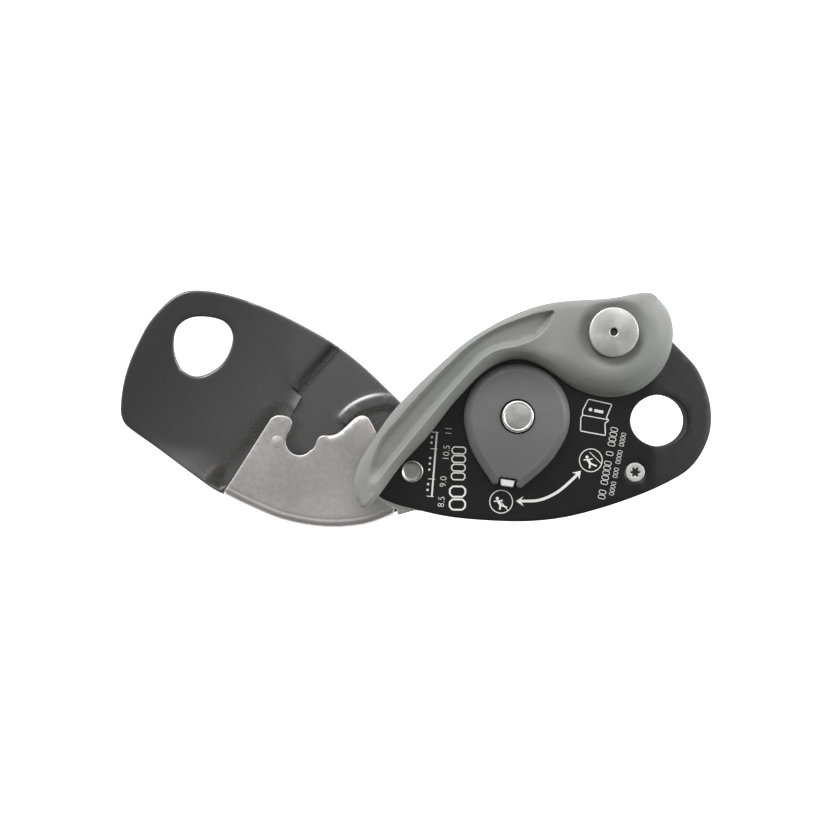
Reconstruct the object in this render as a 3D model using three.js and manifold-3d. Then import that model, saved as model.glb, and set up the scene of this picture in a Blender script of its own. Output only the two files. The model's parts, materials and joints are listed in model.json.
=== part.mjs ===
// Assisted-braking rope device with two hinged side plates, shown opened.
// Units are millimetres. The shared datum is the cam axle; +Z runs along all the
// axles, from the swinging side plate up to the handle.
import * as THREE from 'three';
import { mergeVertices } from 'three/addons/utils/BufferGeometryUtils.js';
import Module from 'manifold-3d';

const wasm = await Module();
wasm.setup();

// ---- driving dimensions ----
const GAP = 0.3;                      // clearance left between neighbouring solids
const OPEN_ANGLE = 137.7;             // swing of the moving side from closed, degrees
const PIVOT = [-30.2, -15.9];         // hinge rivet of the side plates
const HANDLE_AXLE = [26.9, 23.9];     // release handle axle
const LINER_SCREW = [34.5, -16.2];
const MOVING_T = 2.5;                 // moving side plate thickness
const FIXED_T = 3.0;                  // fixed side plate thickness
const FIXED_TOP = 22.7;               // outer face of the fixed side plate
const LINER_T = 0.8;
const LIP_TOP = 18.2;                 // upper lip of the wear plate
const LIP_T = 2.0;
const WALL_T = 2.0;
const BASE_T = 1.5;                   // lower flange of the wear plate
const MOVING_BEND_X = 11;             // where the moving plate starts to rise
const MOVING_BEND = 13.5;             // degrees
const FIXED_BEND_X = 39;              // where the fixed plate end drops
const FIXED_BEND = -16;               // degrees
const CAM_BOTTOM = 4.2;
const CAM_TOP = 15.6;
const CAM_BORE_R = 5.2;
const AXLE_R = 3.0;
const NOTCH_R = 4.1;                  // notch of the lip that closes round the cam axle
const PIN_R = 1.5;                    // release pin of the cam
const PIN_ARM = 20.5;                 // its distance from the cam axle
const PIN_ANGLE = 58;                 // its direction at rest, degrees
const CAM_SWING = 25;                 // degrees from free to blocked
const KNOB_R = 15.3;
const KNOB_TIP_ANGLE = -98.3;         // direction of the knob's pointer, degrees
const KNOB_BOTTOM = 23.1;
const KNOB_TOP = 28.2;
const KNOB_HEAD_R = 4.6;
const HANDLE_BOTTOM = 23.2;
const HANDLE_TOP = 31.0;
const HUB_R = 18.3;
const HANDLE_HEAD_R = 7.0;

const FIXED_BOTTOM = FIXED_TOP - FIXED_T;
const LINER_TOP = FIXED_BOTTOM - GAP;
const LINER_BOTTOM = LINER_TOP - LINER_T;
const LIP_BOTTOM = LIP_TOP - LIP_T;
const BASE_BOTTOM = MOVING_T + GAP;
const BASE_TOP = BASE_BOTTOM + BASE_T;

// ---- materials ----
function metal(color, roughness, metalness = 1) {
  return new THREE.MeshStandardMaterial({ color, roughness, metalness });
}
const blackAnodised = metal(0x1c1d1e, 0.45);
const greyAnodised = metal(0x55575a, 0.38);
const stainless = metal(0xa8a4a0, 0.42);
const turnedSteel = metal(0xb4b4b2, 0.3);
const springSteel = metal(0x777a7c, 0.35);
const bronze = metal(0x9a7b45, 0.4);
const castAlloy = metal(0x8b8d8c, 0.5);
const greyPolymer = metal(0x838685, 0.55, 0);
const darkPolymer = metal(0x6b6e6e, 0.55, 0);
const whitePolymer = metal(0xf0f0ee, 0.5, 0);

// ---- geometry helpers ----
const radians = THREE.MathUtils.degToRad;

function polar(radius, degrees, centre = [0, 0]) {
  const angle = radians(degrees);
  return [centre[0] + radius * Math.cos(angle), centre[1] + radius * Math.sin(angle)];
}

function arc(centre, radius, from, to, steps) {
  const points = [];
  for (let i = 0; i <= steps; i += 1) {
    points.push(polar(radius, from + ((to - from) * i) / steps, centre));
  }
  return points;
}

function shapeFrom(points) {
  return new THREE.Shape(points.map(([x, y]) => new THREE.Vector2(x, y)));
}

// A closed smooth curve through the given points, cut into steps of about `step`.
function loop(points, step = 2.6) {
  const path = points.map(([x, y]) => new THREE.Vector3(x, y, 0));
  const curve = new THREE.CatmullRomCurve3(path, true, 'centripetal');
  const count = Math.round(curve.getLength() / step);
  return shapeFrom(curve.getSpacedPoints(count).slice(0, count).map((p) => [p.x, p.y]));
}

// An open smooth curve through the given points, as a list of points.
function curvePoints(points, count) {
  const path = points.map(([x, y]) => new THREE.Vector3(x, y, 0));
  const curve = new THREE.CatmullRomCurve3(path, false, 'centripetal');
  return curve.getSpacedPoints(count).map((p) => [p.x, p.y]);
}

// The same list moved sideways, to the right of its direction of travel.
function beside(points, distance) {
  return points.map(([x, y], i) => {
    const before = points[Math.max(i - 1, 0)];
    const after = points[Math.min(i + 1, points.length - 1)];
    const dx = after[0] - before[0];
    const dy = after[1] - before[1];
    const length = Math.hypot(dx, dy);
    return [x + (distance * dy) / length, y - (distance * dx) / length];
  });
}

function solid(geometry) {
  geometry.deleteAttribute('normal');
  geometry.deleteAttribute('uv');
  const merged = mergeVertices(geometry, 1e-4);
  const index = merged.index.array;
  const triangles = [];
  for (let i = 0; i < index.length; i += 3) {
    const [a, b, c] = [index[i], index[i + 1], index[i + 2]];
    if (a !== b && b !== c && c !== a) triangles.push(a, b, c);
  }
  return new wasm.Manifold(new wasm.Mesh({
    numProp: 3,
    vertProperties: new Float32Array(merged.attributes.position.array),
    triVerts: new Uint32Array(triangles),
  }));
}

function slab(shape, bottom, top, curveSegments = 12) {
  const depth = top - bottom;
  const geometry = new THREE.ExtrudeGeometry(shape, { depth, bevelEnabled: false, curveSegments });
  return solid(geometry.translate(0, 0, bottom));
}

// A turned piece about a vertical axis; profile is [radius, height] from axis to axis.
function turned(profile, centre = [0, 0], sides = 32) {
  const points = profile.map(([r, z]) => new THREE.Vector2(r, z));
  const geometry = new THREE.LatheGeometry(points, sides);
  geometry.rotateX(Math.PI / 2);
  return solid(geometry.translate(centre[0], centre[1], 0));
}

function disc(centre, radius, bottom, top, sides = 32) {
  return turned([[0, bottom], [radius, bottom], [radius, top], [0, top]], centre, sides);
}

function ring(centre, inner, outer, bottom, top, sides = 32) {
  return disc(centre, outer, bottom, top, sides)
    .subtract(disc(centre, inner, bottom - 1, top + 1, sides));
}

// A helical spring of round wire, its first and last turn at the given heights.
function coil(centre, radius, wire, bottom, top, turns) {
  const points = [];
  const perTurn = 14;
  for (let i = 0; i <= turns * perTurn; i += 1) {
    const [x, y] = polar(radius, (360 * i) / perTurn, centre);
    points.push(new THREE.Vector3(x, y, bottom + ((top - bottom) * i) / (turns * perTurn)));
  }
  const section = new THREE.Shape().absarc(0, 0, wire / 2, 0, Math.PI * 2);
  return solid(new THREE.ExtrudeGeometry(section, {
    extrudePath: new THREE.CatmullRomCurve3(points),
    steps: points.length - 1,
    curveSegments: 3,
  }));
}

// A sheet lying in X with one bend: `z` is one face, the other is `offset` along its normal.
function bentSheet(z, offset, bendX, bendDegrees, fromX, toX, halfWidth) {
  const bendRadius = 14;
  const steps = 5;
  const setBack = bendRadius * Math.tan(radians(Math.abs(bendDegrees)) / 2);
  const face = [[fromX, z, 0]];
  let x = bendX - setBack;
  let height = z;
  for (let i = 0; i <= steps; i += 1) {
    face.push([x, height, (bendDegrees * i) / steps]);
    const chord = 2 * bendRadius * Math.sin(radians(Math.abs(bendDegrees)) / steps / 2);
    const direction = radians((bendDegrees * (i + 0.5)) / steps);
    if (i < steps) {
      x += chord * Math.cos(direction);
      height += chord * Math.sin(direction);
    }
  }
  face.push([toX, height + (toX - x) * Math.tan(radians(bendDegrees)), bendDegrees]);
  const other = face.map(([fx, fz, a]) => [
    fx - offset * Math.sin(radians(a)),
    fz + offset * Math.cos(radians(a)),
  ]);
  const section = shapeFrom([...face.map(([fx, fz]) => [fx, fz]), ...other.reverse()]);
  const geometry = new THREE.ExtrudeGeometry(section, { depth: 2 * halfWidth, bevelEnabled: false });
  geometry.rotateX(Math.PI / 2);
  return solid(geometry.translate(0, halfWidth, 0));
}

// A through-cut whose walls stand square to a sheet tilted about Y by `degrees`.
function tiltedCut(shape, centre, height, degrees) {
  const geometry = new THREE.ExtrudeGeometry(shape, { depth: 16, bevelEnabled: false, curveSegments: 18 });
  geometry.translate(0, 0, -8);
  geometry.rotateY(radians(-degrees));
  return solid(geometry.translate(centre[0], centre[1], height));
}

function mesh(name, manifold, material) {
  const { vertProperties, triVerts } = manifold.getMesh();
  const geometry = new THREE.BufferGeometry();
  geometry.setAttribute('position', new THREE.BufferAttribute(vertProperties, 3));
  geometry.setIndex(new THREE.BufferAttribute(triVerts, 1));
  geometry.computeVertexNormals();
  const piece = new THREE.Mesh(geometry, material);
  piece.name = name;
  return piece;
}

// ---- fixed side plate: flat, with its clip-in end bent down towards the other plate ----
const FIXED_OUTLINE = [
  [-39.7, -23.2], [-35.2, -25.4], [-29.5, -26.9], [-20.1, -29.0], [-7.8, -30.2], [3.7, -30.4],
  [13.8, -29.3], [24.6, -26.6], [35.4, -22.9], [45.1, -18.8], [50.7, -15.5], [54.6, -11.0],
  [57.4, -4.5], [57.7, 2.1], [56.3, 7.9], [53.3, 14.1], [48.8, 18.9], [44.6, 22.8], [39.8, 27.2],
  [34.0, 30.1], [26.5, 31.0], [18.0, 30.0], [6.0, 26.6], [-6.8, 22.2], [-17.5, 17.0], [-27.5, 8.4],
  [-34.2, -0.6], [-37.8, -8.4], [-40.2, -16.4], [-40.8, -21.2],
];
const CLIP_HOLE = { centre: [41.7, -1.2], halfLength: 8.9, halfWidth: 7.5 };
const SLOT_FROM = PIN_ANGLE - CAM_SWING - 3;
const SLOT_TO = PIN_ANGLE + 3;
const SLOT_R = PIN_R + 0.4;

function releaseSlot() {
  const start = polar(PIN_ARM, SLOT_FROM);
  const end = polar(PIN_ARM, SLOT_TO);
  return slab(shapeFrom([
    ...arc(start, SLOT_R, SLOT_FROM + 180, SLOT_FROM + 360, 6),
    ...arc([0, 0], PIN_ARM + SLOT_R, SLOT_FROM + 3, SLOT_TO - 3, 5),
    ...arc(end, SLOT_R, SLOT_TO, SLOT_TO + 180, 6),
    ...arc([0, 0], PIN_ARM - SLOT_R, SLOT_TO - 3, SLOT_FROM + 3, 5),
  ]), FIXED_BOTTOM - 1, FIXED_TOP + 1);
}

function screwHole() {
  return turned([
    [0, FIXED_BOTTOM - 4], [1.8, FIXED_BOTTOM - 4], [1.8, FIXED_TOP - 1.6],
    [3.4, FIXED_TOP], [3.4, FIXED_TOP + 1], [0, FIXED_TOP + 1],
  ], LINER_SCREW, 24);
}

function fixedPlate() {
  const ellipse = new THREE.Shape().absellipse(
    0, 0, CLIP_HOLE.halfLength, CLIP_HOLE.halfWidth, 0, Math.PI * 2);
  const dropAtHole = (CLIP_HOLE.centre[0] - FIXED_BEND_X) * Math.tan(radians(-FIXED_BEND));
  return slab(loop(FIXED_OUTLINE), -10, 40)
    .intersect(bentSheet(FIXED_TOP, -FIXED_T, FIXED_BEND_X, FIXED_BEND, -60, 70, 50))
    .subtract(tiltedCut(ellipse, CLIP_HOLE.centre, FIXED_TOP - dropAtHole, FIXED_BEND))
    .subtract(disc([0, 0], AXLE_R + GAP, 0, 40))
    .subtract(disc(PIVOT, 2.4 + GAP, 0, 40, 24))
    .subtract(disc(HANDLE_AXLE, 3.5 + GAP, 0, 40))
    .subtract(releaseSlot())
    .subtract(screwHole());
}

// The stainless liner carries the rope load; its folded tab stops the open side plate.
function wearLiner() {
  const outline = [
    [-40.7, -23.3], [-38.1, -25.3], [-35.0, -26.9], [-28.6, -27.6], [-19.6, -28.2], [-7.8, -28.9],
    [3.7, -29.1], [13.8, -28.0], [24.6, -25.2], [34.0, -21.8], [37.4, -18.4], [37.0, -12.4],
    [30.0, -6.0], [20.0, 0.4], [12.6, 7.4], [8.0, 13.2], [3.4, 22.6], [-6.8, 20.4], [-17.0, 15.2],
    [-26.0, 7.2], [-32.8, -1.6], [-36.4, -9.0], [-38.8, -16.6],
  ];
  const tab = [[-34.9, -25.4], [-34.4, -28.9], [-29.0, -27.4], [-28.4, -25.4]];
  return slab(loop(outline), LINER_BOTTOM, LINER_TOP)
    .add(slab(shapeFrom(tab), LINER_BOTTOM - 6.5, LINER_TOP))
    .subtract(disc([0, 0], AXLE_R + GAP, 0, 40))
    .subtract(disc(PIVOT, 2.4 + GAP, 0, 40, 24))
    .subtract(disc(LINER_SCREW, 1.5 + GAP, 0, 40, 24));
}

function linerScrew() {
  return turned([
    [0, LINER_BOTTOM - 2.0], [1.5, LINER_BOTTOM - 2.0], [1.5, FIXED_TOP - 1.5],
    [2.8, FIXED_TOP - 0.25], [2.8, FIXED_TOP], [1.1, FIXED_TOP], [1.0, FIXED_TOP - 1.1],
    [0, FIXED_TOP - 1.1],
  ], LINER_SCREW, 24);
}

function linerScrewNut() {
  const top = LINER_BOTTOM - GAP;
  return disc(LINER_SCREW, 3.2, top - 1.8, top, 6)
    .subtract(disc(LINER_SCREW, 1.5 + 0.2, top - 3, top + 1, 24));
}

// ---- axles ----
function camAxle() {
  const headBottom = KNOB_TOP - 0.9;
  return turned([
    [0, MOVING_T + GAP], [AXLE_R, MOVING_T + GAP], [AXLE_R, headBottom],
    [KNOB_HEAD_R, headBottom], [KNOB_HEAD_R, headBottom + 1.3], [KNOB_HEAD_R - 0.4, headBottom + 1.7],
    [0.6, headBottom + 1.7], [0, headBottom + 1.4],
  ]);
}

function camAxleClip() {
  return ring([0, 0], AXLE_R + 0.15, 5.6, MOVING_T + 0.9, CAM_BOTTOM + 0.6, 24);
}

function pivotRivet() {
  return turned([
    [0, 0.3], [3.9, 0.3], [3.9, 1.1], [2.4, 1.1], [2.4, FIXED_TOP + 0.2], [3.3, FIXED_TOP + 0.2],
    [3.2, FIXED_TOP + 0.6], [2.2, FIXED_TOP + 0.95], [0, FIXED_TOP + 1.05],
  ], PIVOT, 24);
}

function pivotSpacer() {
  return ring(PIVOT, 2.4 + GAP, 4.6, MOVING_T + 1.7, LINER_BOTTOM - GAP, 28);
}

function pivotSpringWasher() {
  return ring(PIVOT, 2.4 + GAP, 5.4, MOVING_T + GAP, MOVING_T + 1.4, 24);
}

function handleAxle() {
  const headBottom = HANDLE_TOP - 0.3;
  return turned([
    [0, LINER_BOTTOM - 1.6], [5.0, LINER_BOTTOM - 1.6], [5.0, LINER_BOTTOM - 0.5],
    [3.5, LINER_BOTTOM - 0.5], [3.5, headBottom], [HANDLE_HEAD_R, headBottom],
    [HANDLE_HEAD_R, headBottom + 1.7], [HANDLE_HEAD_R - 0.4, headBottom + 2.0],
    [1.1, headBottom + 2.0], [1.0, headBottom + 1.0], [0, headBottom + 1.0],
  ], HANDLE_AXLE, 40);
}

function handleAxleWasher() {
  return ring(HANDLE_AXLE, 3.5 + 0.2, 6.2, LINER_BOTTOM - 0.2, FIXED_BOTTOM - GAP, 28);
}

// ---- cam: flanged eccentric with a rope groove and an arm for the release pin ----
const CAM_GROOVE_SIDE = [
  [90, 11.4], [112, 12.2], [135, 14.4], [158, 17.0], [176, 18.4], [190, 18.2],
];
const CAM_BACK = [
  [-17.4, -8.0], [-11.6, -12.0], [-3.0, -12.4], [5.4, -10.8], [10.4, -6.0], [11.6, 0.6], [9.0, 7.2],
];
const PIN = polar(PIN_ARM, PIN_ANGLE);

function camLayer(inset, bottom, top) {
  const grooved = CAM_GROOVE_SIDE.map(([angle, radius]) => polar(radius - inset, angle));
  return slab(loop([...grooved, ...CAM_BACK]), bottom, top);
}

function cam() {
  const armSides = [
    polar(11.0, 18), ...arc(PIN, 3.2, PIN_ANGLE - 80, PIN_ANGLE + 80, 8), polar(11.0, 98),
  ];
  return camLayer(0, CAM_BOTTOM, CAM_BOTTOM + 2.2)
    .add(camLayer(1.6, CAM_BOTTOM + 2.0, CAM_TOP - 2.2))
    .add(camLayer(0, CAM_TOP - 2.4, CAM_TOP))
    .add(slab(shapeFrom(armSides), CAM_TOP - 2.4, CAM_TOP))
    .subtract(disc([0, 0], CAM_BORE_R, 0, 40))
    .subtract(disc([0, 0], 6.2, 0, CAM_BOTTOM + 0.9))
    .subtract(disc([0, 0], 8.6, CAM_TOP - 4.4, 40))
    .subtract(disc(PIN, PIN_R + 0.15, 0, 40, 20));
}

function camReleasePin() {
  return turned([
    [0, CAM_TOP - 2.4], [PIN_R, CAM_TOP - 2.4], [PIN_R, FIXED_TOP - 0.3],
    [PIN_R - 0.3, FIXED_TOP], [0, FIXED_TOP],
  ], PIN, 20);
}

function camBush() {
  return ring([0, 0], AXLE_R + 0.15, CAM_BORE_R - 0.15, CAM_BOTTOM + 1.0, CAM_TOP - 0.2);
}

// ---- mode knob: round cap drawn out to a pointer, with a lock tab between two prongs ----
const KNOB_SIDE = [[6.6, 13.9], [10.8, 11.9], [14.6, 9.2], [18.2, 6.0]];
const KNOB_TIP = [20.4, 4.0];

function knobShape(scale) {
  const left = curvePoints(KNOB_SIDE, 5).slice(1).reverse();
  const right = curvePoints(KNOB_SIDE, 5).slice(1).map(([x, y]) => [x, -y]);
  const outline = [
    ...arc([0, 0], KNOB_R, 64.6, 295.4, 40), ...right, [KNOB_TIP[0], -KNOB_TIP[1]], KNOB_TIP, ...left,
  ];
  return shapeFrom(outline.map(([x, y]) => [x * scale, y * scale]));
}

function turnedToTip(manifold) {
  return manifold.rotate([0, 0, KNOB_TIP_ANGLE]);
}
const DETENT = [10.0, 0];             // detent ball in the knob's own frame

function modeKnob() {
  const notch = shapeFrom([[18.0, -2.7], [23, -2.7], [23, 2.7], [18.0, 2.7]]);
  const body = slab(knobShape(1), KNOB_BOTTOM, KNOB_BOTTOM + 2.6)
    .add(slab(knobShape(0.93), KNOB_BOTTOM + 2.4, KNOB_TOP))
    .subtract(slab(notch, 0, 40))
    .subtract(disc(DETENT, 1.5, 0, KNOB_TOP - 1.2, 16))
    .subtract(disc([0, 0], AXLE_R + GAP, 0, 40))
    .subtract(disc([0, 0], KNOB_HEAD_R + 0.4, KNOB_TOP - 1.2, 40));
  return turnedToTip(body);
}

function detentBall() {
  const geometry = new THREE.SphereGeometry(1.15, 14, 8);
  return turnedToTip(solid(geometry.translate(DETENT[0], DETENT[1], FIXED_TOP + 0.3 + 1.15)));
}

function detentSpring() {
  return turnedToTip(coil(DETENT, 0.85, 0.4, FIXED_TOP + 3.0, KNOB_TOP - 1.7, 2));
}

function modeLockTab() {
  const plan = shapeFrom([[18.3, -2.3], [20.4, -1.8], [20.4, 1.8], [18.3, 2.3]]);
  return turnedToTip(slab(plan, KNOB_BOTTOM + 1.0, KNOB_BOTTOM + 2.9));
}

// ---- release handle: long curved arm on a round hub ----
const HANDLE_OUTLINE = [
  ...arc(HANDLE_AXLE, HUB_R, -105, 28, 12),
  [40.9, 34.2], [38.6, 35.5], [35.4, 35.4], [26.2, 33.8], [13.3, 33.0], [6.2, 31.7], [-0.9, 29.2],
  [-8.1, 25.6], [-15.2, 21.0], [-22.3, 14.9], [-29.5, 8.1], [-36.6, 0.3], [-41.6, -7.2],
  [-45.2, -13.2], [-46.6, -17.2], [-46.7, -20.6], [-45.8, -24.2], [-44.2, -26.3], [-42.6, -25.6],
  [-39.4, -22.2], [-33.2, -13.9], [-26.0, -6.1], [-18.8, 3.1], [-15.2, 7.1], [-11.6, 10.9],
  [-8.1, 13.7], [-4.5, 15.6], [-0.9, 16.4], [2.6, 16.2], [6.2, 14.9], [9.8, 12.8], [13.3, 10.3],
  [16.9, 8.1],
];
const ARM_CHANNEL = [
  [-40.2, -16.6], [-34.6, -8.4], [-26.3, 0.9], [-17.4, 10.2], [-9.6, 17.6], [-1.4, 22.0],
  [5.0, 24.6], [3.0, 27.6], [-5.4, 24.4], [-14.0, 18.6], [-22.2, 10.9], [-30.4, 1.9], [-37.4, -6.6],
];

function handle() {
  return slab(loop(HANDLE_OUTLINE), HANDLE_BOTTOM, HANDLE_TOP)
    .subtract(slab(loop(ARM_CHANNEL), HANDLE_TOP - 1.2, 50))
    .subtract(disc(HANDLE_AXLE, HANDLE_HEAD_R + 0.8, HANDLE_TOP - 1.0, 50))
    .subtract(disc(HANDLE_AXLE, 5.3, 0, 50))
    .subtract(disc(HANDLE_AXLE, 13.4, 0, HANDLE_BOTTOM + 3.4));
}

function handleBush() {
  return ring(HANDLE_AXLE, 3.5 + 0.15, 5.1, HANDLE_BOTTOM, HANDLE_TOP - 1.2);
}

function handleSpring() {
  return coil(HANDLE_AXLE, 6.6, 0.9, HANDLE_BOTTOM + 0.7, HANDLE_BOTTOM + 2.7, 2);
}

function driveDog() {
  const plan = shapeFrom([
    ...arc(HANDLE_AXLE, 12.9, 175, 245, 8), ...arc(HANDLE_AXLE, 8.0, 245, 175, 8),
  ]);
  return slab(plan, HANDLE_BOTTOM, HANDLE_BOTTOM + 3.1);
}

// ---- moving side, drawn closed over the fixed plate ----
const WALL_ARC = curvePoints(
  [[-35.0, -2.6], [-31.1, 4.8], [-23.5, 13.1], [-12.4, 20.4], [-1.0, 24.6], [6.2, 26.6]], 22);
const MOVING_OUTLINE = [
  [8.0, 28.8], [18.5, 29.8], [33.0, 31.2], [39.6, 31.9], [43.0, 31.9], [45.6, 30.6], [48.2, 27.6],
  [51.5, 22.4], [54.1, 16.6], [55.9, 10.9], [57.3, 4.9], [57.6, -1.0], [57.0, -6.6], [55.2, -10.4],
  [51.1, -14.2], [47.1, -16.8], [41.6, -19.6], [35.7, -22.0], [29.6, -24.1], [23.1, -25.9],
  [16.3, -27.5], [8.9, -28.5], [0.9, -28.9], [-7.7, -28.7], [-16.0, -28.4], [-24.0, -28.2],
  [-31.6, -26.4], [-37.6, -22.6], [-40.2, -15.9], [-38.6, -9.2], [-35.4, -2.8], [-31.2, 4.8],
  [-23.6, 13.1], [-12.5, 20.4], [-1.4, 24.8],
];
const MOVING_HOLE = [
  [50.5, -0.2], [47.1, 5.3], [41.2, 8.5], [36.6, 7.0], [33.8, -0.9], [36.8, -9.0], [41.6, -10.7],
  [49.1, -5.6],
];
const RIVET_PLACES = beside(WALL_ARC, 4.4).filter((_, i) => [4, 11, 18].includes(i));
const BUSH_R = 3.1;

function movingPlate() {
  const centre = [42.2, -1.0];
  const around = MOVING_HOLE.map(([x, y]) => [
    (x - centre[0]) / Math.cos(radians(MOVING_BEND)), y - centre[1]]);
  const height = (centre[0] - MOVING_BEND_X) * Math.tan(radians(MOVING_BEND)) + MOVING_T;
  let plate = slab(loop(MOVING_OUTLINE), -10, 40)
    .intersect(bentSheet(0, MOVING_T, MOVING_BEND_X, MOVING_BEND, -60, 70, 50))
    .subtract(tiltedCut(loop(around), centre, height, MOVING_BEND))
    .subtract(disc(PIVOT, BUSH_R + 0.2, -5, 10, 24))
    .subtract(disc(PIVOT, 4.3, -5, 1.3, 24));
  for (const place of RIVET_PLACES) {
    plate = plate
      .subtract(disc(place, 1.5 + 0.2, -5, 10, 16))
      .subtract(disc(place, 2.7, -5, 1.0, 16));
  }
  return plate;
}

function movingPlateBush() {
  return ring(PIVOT, 2.4 + 0.15, BUSH_R, 1.35, MOVING_T, 24);
}

// Stainless channel round the rope: upper lip, outer wall and riveted lower flange.
function wearPlate() {
  const lip = shapeFrom([
    ...WALL_ARC,
    ...curvePoints([[10.6, 1.6], [10.2, -0.9], [8.4, -2.5], [6.8, -3.1], [5.5, -2.7], [4.6, -1.3]], 9),
    ...arc([0, 0], NOTCH_R, 0, 180, 14),
    ...curvePoints([[-4.4, -1.4], [-3.9, -2.9], [-3.4, -4.4], [-3.7, -5.6], [-5.2, -7.0],
      [-6.4, -8.6], [-7.0, -11.0], [-7.2, -13.7], [-7.5, -16.2], [-8.4, -17.9], [-9.8, -18.6],
      [-11.4, -18.3], [-15.0, -17.0]], 22),
    [-33.4, -4.0],
  ]);
  const wall = shapeFrom([...WALL_ARC, ...beside(WALL_ARC, WALL_T).reverse()]);
  const flange = shapeFrom([...WALL_ARC, ...beside(WALL_ARC, 6.8).reverse()]);
  let plate = slab(lip, LIP_BOTTOM, LIP_TOP)
    .add(slab(wall, BASE_BOTTOM, LIP_TOP))
    .add(slab(flange, BASE_BOTTOM, BASE_TOP));
  for (const place of RIVET_PLACES) {
    plate = plate.subtract(disc(place, 1.5 + 0.2, 0, 10, 16));
  }
  return plate;
}

function wearPlateRivet(place) {
  return turned([
    [0, 0.2], [2.4, 0.2], [2.4, 0.8], [1.5, 0.8], [1.5, BASE_TOP + 0.25], [2.2, BASE_TOP + 0.25],
    [1.9, BASE_TOP + 0.7], [0, BASE_TOP + 0.8],
  ], place, 16);
}

// ---- assembly ----
const fixedSide = new THREE.Group();
fixedSide.add(
  mesh('fixed_side_plate', fixedPlate(), blackAnodised),
  mesh('fixed_wear_liner', wearLiner(), stainless),
  mesh('liner_screw', linerScrew(), turnedSteel),
  mesh('liner_screw_nut', linerScrewNut(), turnedSteel),
  mesh('cam_axle', camAxle(), turnedSteel),
  mesh('cam_axle_clip', camAxleClip(), springSteel),
  mesh('pivot_rivet', pivotRivet(), turnedSteel),
  mesh('pivot_spacer', pivotSpacer(), turnedSteel),
  mesh('pivot_spring_washer', pivotSpringWasher(), springSteel),
  mesh('handle_axle', handleAxle(), turnedSteel),
  mesh('handle_axle_washer', handleAxleWasher(), turnedSteel),
);

const camGroup = new THREE.Group();
camGroup.add(
  mesh('cam', cam(), castAlloy),
  mesh('cam_bush', camBush(), bronze),
  mesh('cam_return_spring', coil([0, 0], 6.9, 1.0, CAM_TOP - 3.6, CAM_TOP - 0.9, 2), springSteel),
  mesh('cam_release_pin', camReleasePin(), turnedSteel),
);

const knobGroup = new THREE.Group();
knobGroup.add(
  mesh('mode_knob', modeKnob(), darkPolymer),
  mesh('detent_ball', detentBall(), turnedSteel),
  mesh('detent_spring', detentSpring(), springSteel),
  mesh('mode_lock_tab', modeLockTab(), whitePolymer),
);

const handleGroup = new THREE.Group();
handleGroup.add(
  mesh('handle', handle(), greyPolymer),
  mesh('handle_bush', handleBush(), bronze),
  mesh('handle_return_spring', handleSpring(), springSteel),
  mesh('handle_drive_dog', driveDog(), castAlloy),
);

const movingSide = new THREE.Group();
movingSide.add(
  mesh('moving_side_plate', movingPlate(), greyAnodised),
  mesh('steel_wear_plate', wearPlate(), stainless),
  mesh('moving_plate_bush', movingPlateBush(), bronze),
);
RIVET_PLACES.forEach((place, i) => {
  movingSide.add(mesh(`wear_plate_rivet_${i + 1}`, wearPlateRivet(place), turnedSteel));
});
movingSide.position.set(-PIVOT[0], -PIVOT[1], 0);
const swing = new THREE.Group();
swing.position.set(PIVOT[0], PIVOT[1], 0);
swing.rotation.z = radians(OPEN_ANGLE);
swing.add(movingSide);

const device = new THREE.Group();
device.add(fixedSide, camGroup, knobGroup, handleGroup, swing);

// The origin goes to the bottom centre of the opened device's box.
const box = new THREE.Box3().setFromObject(device, true);
device.position.set(-(box.min.x + box.max.x) / 2, -(box.min.y + box.max.y) / 2, -box.min.z);

export default device;
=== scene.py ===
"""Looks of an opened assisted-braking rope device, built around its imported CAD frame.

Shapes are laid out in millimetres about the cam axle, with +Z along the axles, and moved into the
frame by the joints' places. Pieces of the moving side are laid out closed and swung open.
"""
import json
import math

import bpy
import numpy as np
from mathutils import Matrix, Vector
from mathutils.geometry import delaunay_2d_cdt


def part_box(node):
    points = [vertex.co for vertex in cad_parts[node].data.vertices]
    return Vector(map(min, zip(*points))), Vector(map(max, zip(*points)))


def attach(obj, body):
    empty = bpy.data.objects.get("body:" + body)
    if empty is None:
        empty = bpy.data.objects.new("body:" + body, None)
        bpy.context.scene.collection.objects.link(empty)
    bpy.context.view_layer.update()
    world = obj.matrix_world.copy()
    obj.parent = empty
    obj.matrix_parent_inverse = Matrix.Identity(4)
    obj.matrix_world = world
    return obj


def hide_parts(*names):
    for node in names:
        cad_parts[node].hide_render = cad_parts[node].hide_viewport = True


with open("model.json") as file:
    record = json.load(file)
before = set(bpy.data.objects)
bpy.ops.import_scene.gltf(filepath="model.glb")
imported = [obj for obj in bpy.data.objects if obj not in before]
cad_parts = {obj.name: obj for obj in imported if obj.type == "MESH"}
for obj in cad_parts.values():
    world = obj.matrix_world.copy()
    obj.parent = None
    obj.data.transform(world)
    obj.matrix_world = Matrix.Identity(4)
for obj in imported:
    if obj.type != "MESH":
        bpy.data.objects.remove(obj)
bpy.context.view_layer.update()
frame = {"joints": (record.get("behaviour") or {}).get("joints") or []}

MM = 0.001
JOINTS = {joint["name"]: joint for joint in frame["joints"]}
ORIGIN = np.array([*JOINTS["cam_pivot"]["pos_m"][:2], 0.0])


def axle_of(joint):
    """An axle's place in the drawing, in millimetres from the cam axle."""
    place = np.array([*JOINTS[joint]["pos_m"][:2], 0.0]) - ORIGIN
    return place[:2] / MM


def levels(node):
    """The lowest and highest level of a CAD node, in millimetres."""
    low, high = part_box(node)
    return low.z / MM, high.z / MM


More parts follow.
